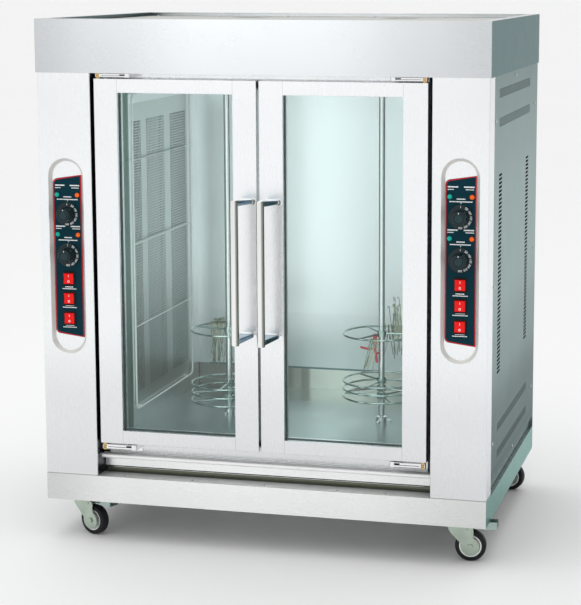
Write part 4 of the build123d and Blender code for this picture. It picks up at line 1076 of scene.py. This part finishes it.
for side in ("left", "right"):
    cx, cz = PANELS[side]

    def flat(u, v, w, cx=cx, cz=cz):
        return (cx + u, w, cz + v)

    # printed border line and captions
    m_ = M()
    m_.band(overlay_outline(0.15), overlay_outline(2.5), flat, YF, YF - 0.06)
    m_.make("panel_line_" + side, ["line"], "cabinet")
    m_ = M()

    def dashes(u0, u1, v, h=2.3, seed=0, gap=0.7):
        r = random.Random(seed)
        u = u0
        while u < u1 - 1.0:
            k = min(r.uniform(1.3, 3.4), u1 - u)
            m_.box(cx + u, cx + u + k, YF - 0.06, YF, cz + v - h / 2, cz + v + h / 2)
            u += k + gap

    for dz, k in ((173, 1), (167, 2), (73, 3), (67.4, 4)):
        dashes(-31, -7 if k % 2 else -17, dz, 3.0 if k % 2 else 1.8, seed=k)
        dashes(7 if k % 2 else 11, 31, dz, 3.0 if k % 2 else 1.8, seed=k + 10)
    dashes(-10, 10, 145, seed=21)
    dashes(-27, 27, 138.8, seed=22)
    dashes(-10, 10, 45.5, seed=23)
    dashes(-25, 25, 39.2, seed=24)
    for dz, k in ((-72.8, 31), (-122, 32), (-171, 33)):
        if dz > -80:
            dz = -76.0
        dashes(-11, 11, dz, 2.4, k)
        dashes(-18, 18, dz - 4.6, 1.9, k + 5)
    for dz in KNOB_DZ:
        m_.box(cx - 0.7, cx + 0.7, YF - 0.06, YF, cz + dz + 31.2, cz + dz + 34.0)
    m_.make("panel_print_" + side, ["print"], "cabinet")

    # lamps: green on the left, orange on the right, in black collars
    for sx, mat, nm in ((-26, "lens_g", "green"), (26, "lens_o", "orange")):
        m_ = M()
        for dz in LAMP_DZ:
            dome = [(5.6 * math.cos(t), -2.0 - 4.0 * math.sin(t)) for t in (math.pi / 2 * i / 8 for i in range(9))]
            m_.lathe([(4.0, 22.0), (4.0, 0.0), (5.6, 0.0)] + dome[:-1] + [(0, -6.0)], (cx + sx, YF, cz + dz), (0, 1, 0), 32)
        m_.make("lamps_%s_%s" % (nm, side), [mat], "cabinet", ["indicator_lamps"])
    m_ = M()
    for dz in LAMP_DZ:
        for sx in (-26, 26):
            m_.lathe([(5.7, 0.0), (6.5, 0.0), (6.5, -0.9), (6.1, -1.3), (5.7, -1.3)], (cx + sx, YF, cz + dz), (0, 1, 0), 32, ring=True)
    m_.make("lamp_collars_" + side, ["black"], "cabinet")

    # knobs
    for name, dz in zip(("upper", "lower"), KNOB_DZ):
        kz = cz + dz

        def flute(t, r, h):
            if h > -12.5 or r < 14:
                return r
            c = max(0.0, math.cos(t * 18)) ** 3
            return r - 1.15 * c

        m_ = M()
        prof = [(0, 7.0), (3.0, 7.0), (3.0, 0.0), (28.6, 0.0), (29.3, -0.5), (29.5, -1.2), (29.5, -3.0), (28.9, -4.1), (27.8, -4.8),
                (19.6, -4.95), (18.9, -5.4), (18.6, -6.4)]
        prof += [(18.5 - 2.0 * (h - 6) / 24.0, -h) for h in (8, 11, 14, 18, 22, 26, 29)]
        prof += [(16.2, -30.6), (15.4, -31.6), (14.2, -32.0), (10.6, -32.0), (10.1, -31.2), (0, -31.2)]
        m_.lathe(prof, (cx, YF, kz), (0, 1, 0), 144, mod=flute)
        m_.lathe([(0, -31.15), (9.6, -31.15), (9.9, -31.5), (9.6, -31.9), (0, -32.0)], (cx, YF, kz), (0, 1, 0), 40, 1)
        for i, txt in enumerate(("I", "50", "100", "150", "200", "250", "300")):
            t = math.radians((0, 34, 62, 91, 120, 149, 180)[i])

            def ring(u, v, w, t=t, kz=kz):
                r = 24.2
                return (cx + r * math.sin(t) + u * math.cos(t) + v * math.sin(t), w, kz + r * math.cos(t) - u * math.sin(t) + v * math.cos(t))
            m_.glyph(txt, 7.6 if len(txt) < 3 else 6.6, ring, YF - 4.75, YF - 5.0, 2)
        # pointer line down the front of the grip
        m_.box(cx - 0.7, cx + 0.7, YF - 32.1, YF - 31.9, kz + 10.8, kz + 14.2, 0, 2)
        m_.make("dial_%s_%s" % (side, name), ["knob", "cap", "print"], "knob_%s_%s" % (side, name), ["knob_%s_%s" % (side, name)], angle=28)

    # I and O on the rockers
    for i, dz in enumerate(ROCKER_DZ):
        rz = cz + dz

        def slope(u, v, w, rz=rz):
            return (cx + u, 4.8 - 2.2 * abs(v) / 12.6 - w, rz + v)

        m_ = M()
        m_.prism([(-0.5, 4.2), (0.5, 4.2), (0.5, 9.4), (-0.5, 9.4)], slope, 0.0, 0.12)
        n = 20
        m_.band([(2.7 * math.cos(math.tau * k / n), -6.8 + 2.7 * math.sin(math.tau * k / n)) for k in range(n)],
                [(1.8 * math.cos(math.tau * k / n), -6.8 + 1.8 * math.sin(math.tau * k / n)) for k in range(n)], slope, 0.0, 0.12)
        m_.make("rocker_marks_%s_%d" % (side, i + 1), ["print"], "rocker_%s_%d" % (side, i + 1))

# ---------------------------------------------------------------- hinge arms: a black slot, black lines along the upper and lower edges as painted shade, and thin black rings where the pins meet the arms
for side, xf in (("left", None), ("right", mir)):
    m_ = M()
    for z0, z1 in ((234.0, 247.0), (1144.0, 1153.0)):
        h = z1 - z0
        m_.box(160.5, 221.4, 4.86, 5.0, z0 + 0.40 * h, z0 + 0.50 * h)
        m_.box(208, 221.4, 4.86, 5.0, z0 + 0.50 * h, z0 + 0.78 * h)
        m_.box(147.4, 221.6, 4.9, 5.0, z0 + 0.02 * h, z0 + 0.09 * h)
        m_.box(147.4, 221.6, 4.9, 5.0, z0 + 0.91 * h, z0 + 0.98 * h)
    for zc in (238.0, 243.0):
        m_.lathe([(6.52, -0.5), (6.75, -0.5), (6.75, 0.5), (6.52, 0.5)], (152.5, 10.0, zc), (0, 0, 1), 32, ring=True)
    m_.make("hinge_slots_and_shade_lines_" + side, ["black"], "cabinet", xf=xf)

# ---------------------------------------------------------------- wheels
SWIVEL = {"front_left": (75, 68, -21), "front_right": (1025, 68, 4), "rear_left": (75, 702, 14), "rear_right": (1025, 702, -10)}
for key, (x, y, ang) in SWIVEL.items():
    a = math.radians(ang)

    def turn(v, x=x, y=y, a=a):
        d = Vector((v.x - x, v.y - y))
        return Vector((x + d.x * math.cos(a) - d.y * math.sin(a), y + d.x * math.sin(a) + d.y * math.cos(a), v.z))

    c = (x + 28.0, y, 37.5)
    m_ = M()
    side_ = [(27, -11.5), (28.5, -12), (33, -12), (35.6, -11.2), (37.0, -9.2), (37.5, -6.6), (37.5, -5.3), (36.9, -5.0), (36.9, -4.4), (37.5, -4.1)]
    m_.lathe(side_ + [(r, -h) for r, h in reversed(side_)], c, (0, 1, 0), 72, ring=True)
    m_.make("tyre_" + key, ["tyre"], "wheel_" + key, ["caster_wheel_" + key], xf=turn)
    m_ = M()
    rim = [(26.9, -11.6), (26.4, -12), (23.8, -11.9), (23.2, -11.2), (23.0, -4.2), (21.8, -2.8), (12.0, -2.8), (11.2, -4.0), (11, -14.8), (10.5, -15.2), (4.15, -15.2)]
    m_.lathe(rim + [(r, -h) for r, h in reversed(rim)], c, (0, 1, 0), 64, ring=True)
    m_.make("rim_" + key, ["rim"], "wheel_" + key, ["caster_wheel_" + key], xf=turn)

# ---------------------------------------------------------------- glazing strips behind the glass
for side, body, xf in (("left", "door_left", None), ("right", "door_right", mir)):
    m_ = M()

    def jamb(u, v, w):
        return (u, w, v)

    o_, i_ = (201.5, 489.0, 283.0, 1108.0), (202.7, 487.8, 284.2, 1106.8)
    m_.band([(o_[0], o_[2]), (o_[1], o_[2]), (o_[1], o_[3]), (o_[0], o_[3])], [(i_[0], i_[2]), (i_[1], i_[2]), (i_[1], i_[3]), (i_[0], i_[3])], jamb, 16.05, 26.0)
    m_.make("glazing_strip_" + side, ["glazing"], body, xf=xf)

# ---------------------------------------------------------------- studio: pale floor running far back, soft lights
fm, fn, fb, fo = material("studio_floor")
fn.link(fn.mixc(fn.noise(fn.coords(), 0.6, 2.0, 0.5), (0.93, 0.93, 0.93), (0.95, 0.95, 0.95)), fb.inputs["Base Color"])
fb.inputs["Roughness"].default_value = 0.7
fb.inputs["Specular IOR Level"].default_value = 0.2
bm = bmesh.new()
bmesh.ops.create_grid(bm, x_segments=40, y_segments=40, size=200)
me = bpy.data.meshes.new("studio_floor")
bm.to_mesh(me)
bm.free()
floor = bpy.data.objects.new("studio_floor", me)
sc.collection.objects.link(floor)
me.materials.append(fm)

w = bpy.data.worlds.new("studio")
sc.world = w
w.use_nodes = True
wn = N(w.node_tree)
wo = wn.add("ShaderNodeOutputWorld")
bg = wn.add("ShaderNodeBackground")
wn.link(bg.outputs[0], wo.inputs[0])
tc = wn.add("ShaderNodeTexCoord")
sp = wn.add("ShaderNodeSeparateXYZ")
wn.link(tc.outputs["Generated"], sp.inputs[0])
sky = wn.ramp(sp.outputs[2], ((0.0, 1.0), (0.08, 0.94), (0.3, 0.66), (0.6, 0.98), (1.0, 1.45)), "EASE")
turn_ = wn.ramp(wn.math("MULTIPLY", wn.math("ADD", sp.outputs[0], 1.0), 0.5), ((0.5, 1.0), (0.8, 0.62), (1.0, 0.55)), "EASE")
wn.link(wn.mixc(1.0, sky, turn_, "MULTIPLY"), bg.inputs["Color"])
bg.inputs["Strength"].default_value = 1.0


def area(name, loc, target, size, power, col=(1, 1, 1), size_y=None):
    d = bpy.data.lights.new(name, "AREA")
    d.shape = "RECTANGLE"
    d.size = size
    d.size_y = size_y or size
    d.energy = power
    d.color = col
    o = bpy.data.objects.new(name, d)
    o.location = loc
    o.rotation_mode = "QUATERNION"
    o.rotation_quaternion = (Vector(target) - Vector(loc)).to_track_quat("-Z", "Y")
    sc.collection.objects.link(o)
    return o


area("key", (-1.3, -4.6, 2.2), (0, 0, 0.8), 1.8, 9, size_y=2.4)
area("fill", (3.4, -3.4, 2.6), (0, 0, 0.6), 2.2, 3)
area("top", (0, 0.2, 4.2), (0, 0, 0), 3.0, 14)
# soft cards just inside the doors, facing the rear wall, which mirrors them; a weak one under the ceiling of each chamber
for nm, x0, x1, watt in (("card_left", 168, 400, 0.265), ("card_mid", 400, 620, 0.110), ("card_right", 620, 932, 0.20)):
    area(nm, ((x0 + x1) / 2 * MM - OX * MM, -0.290, 0.670), ((x0 + x1) / 2 * MM - OX * MM, 0.3, 0.670), (x1 - x0) * MM, watt, size_y=0.82)
for nm, sx, watt in (("left", -0.2, 0.03), ("right", 0.2, 0.10)):
    area("ceiling_" + nm, (sx, 0.05, 1.118), (sx, 0.05, 0), 0.30, watt, size_y=0.5)
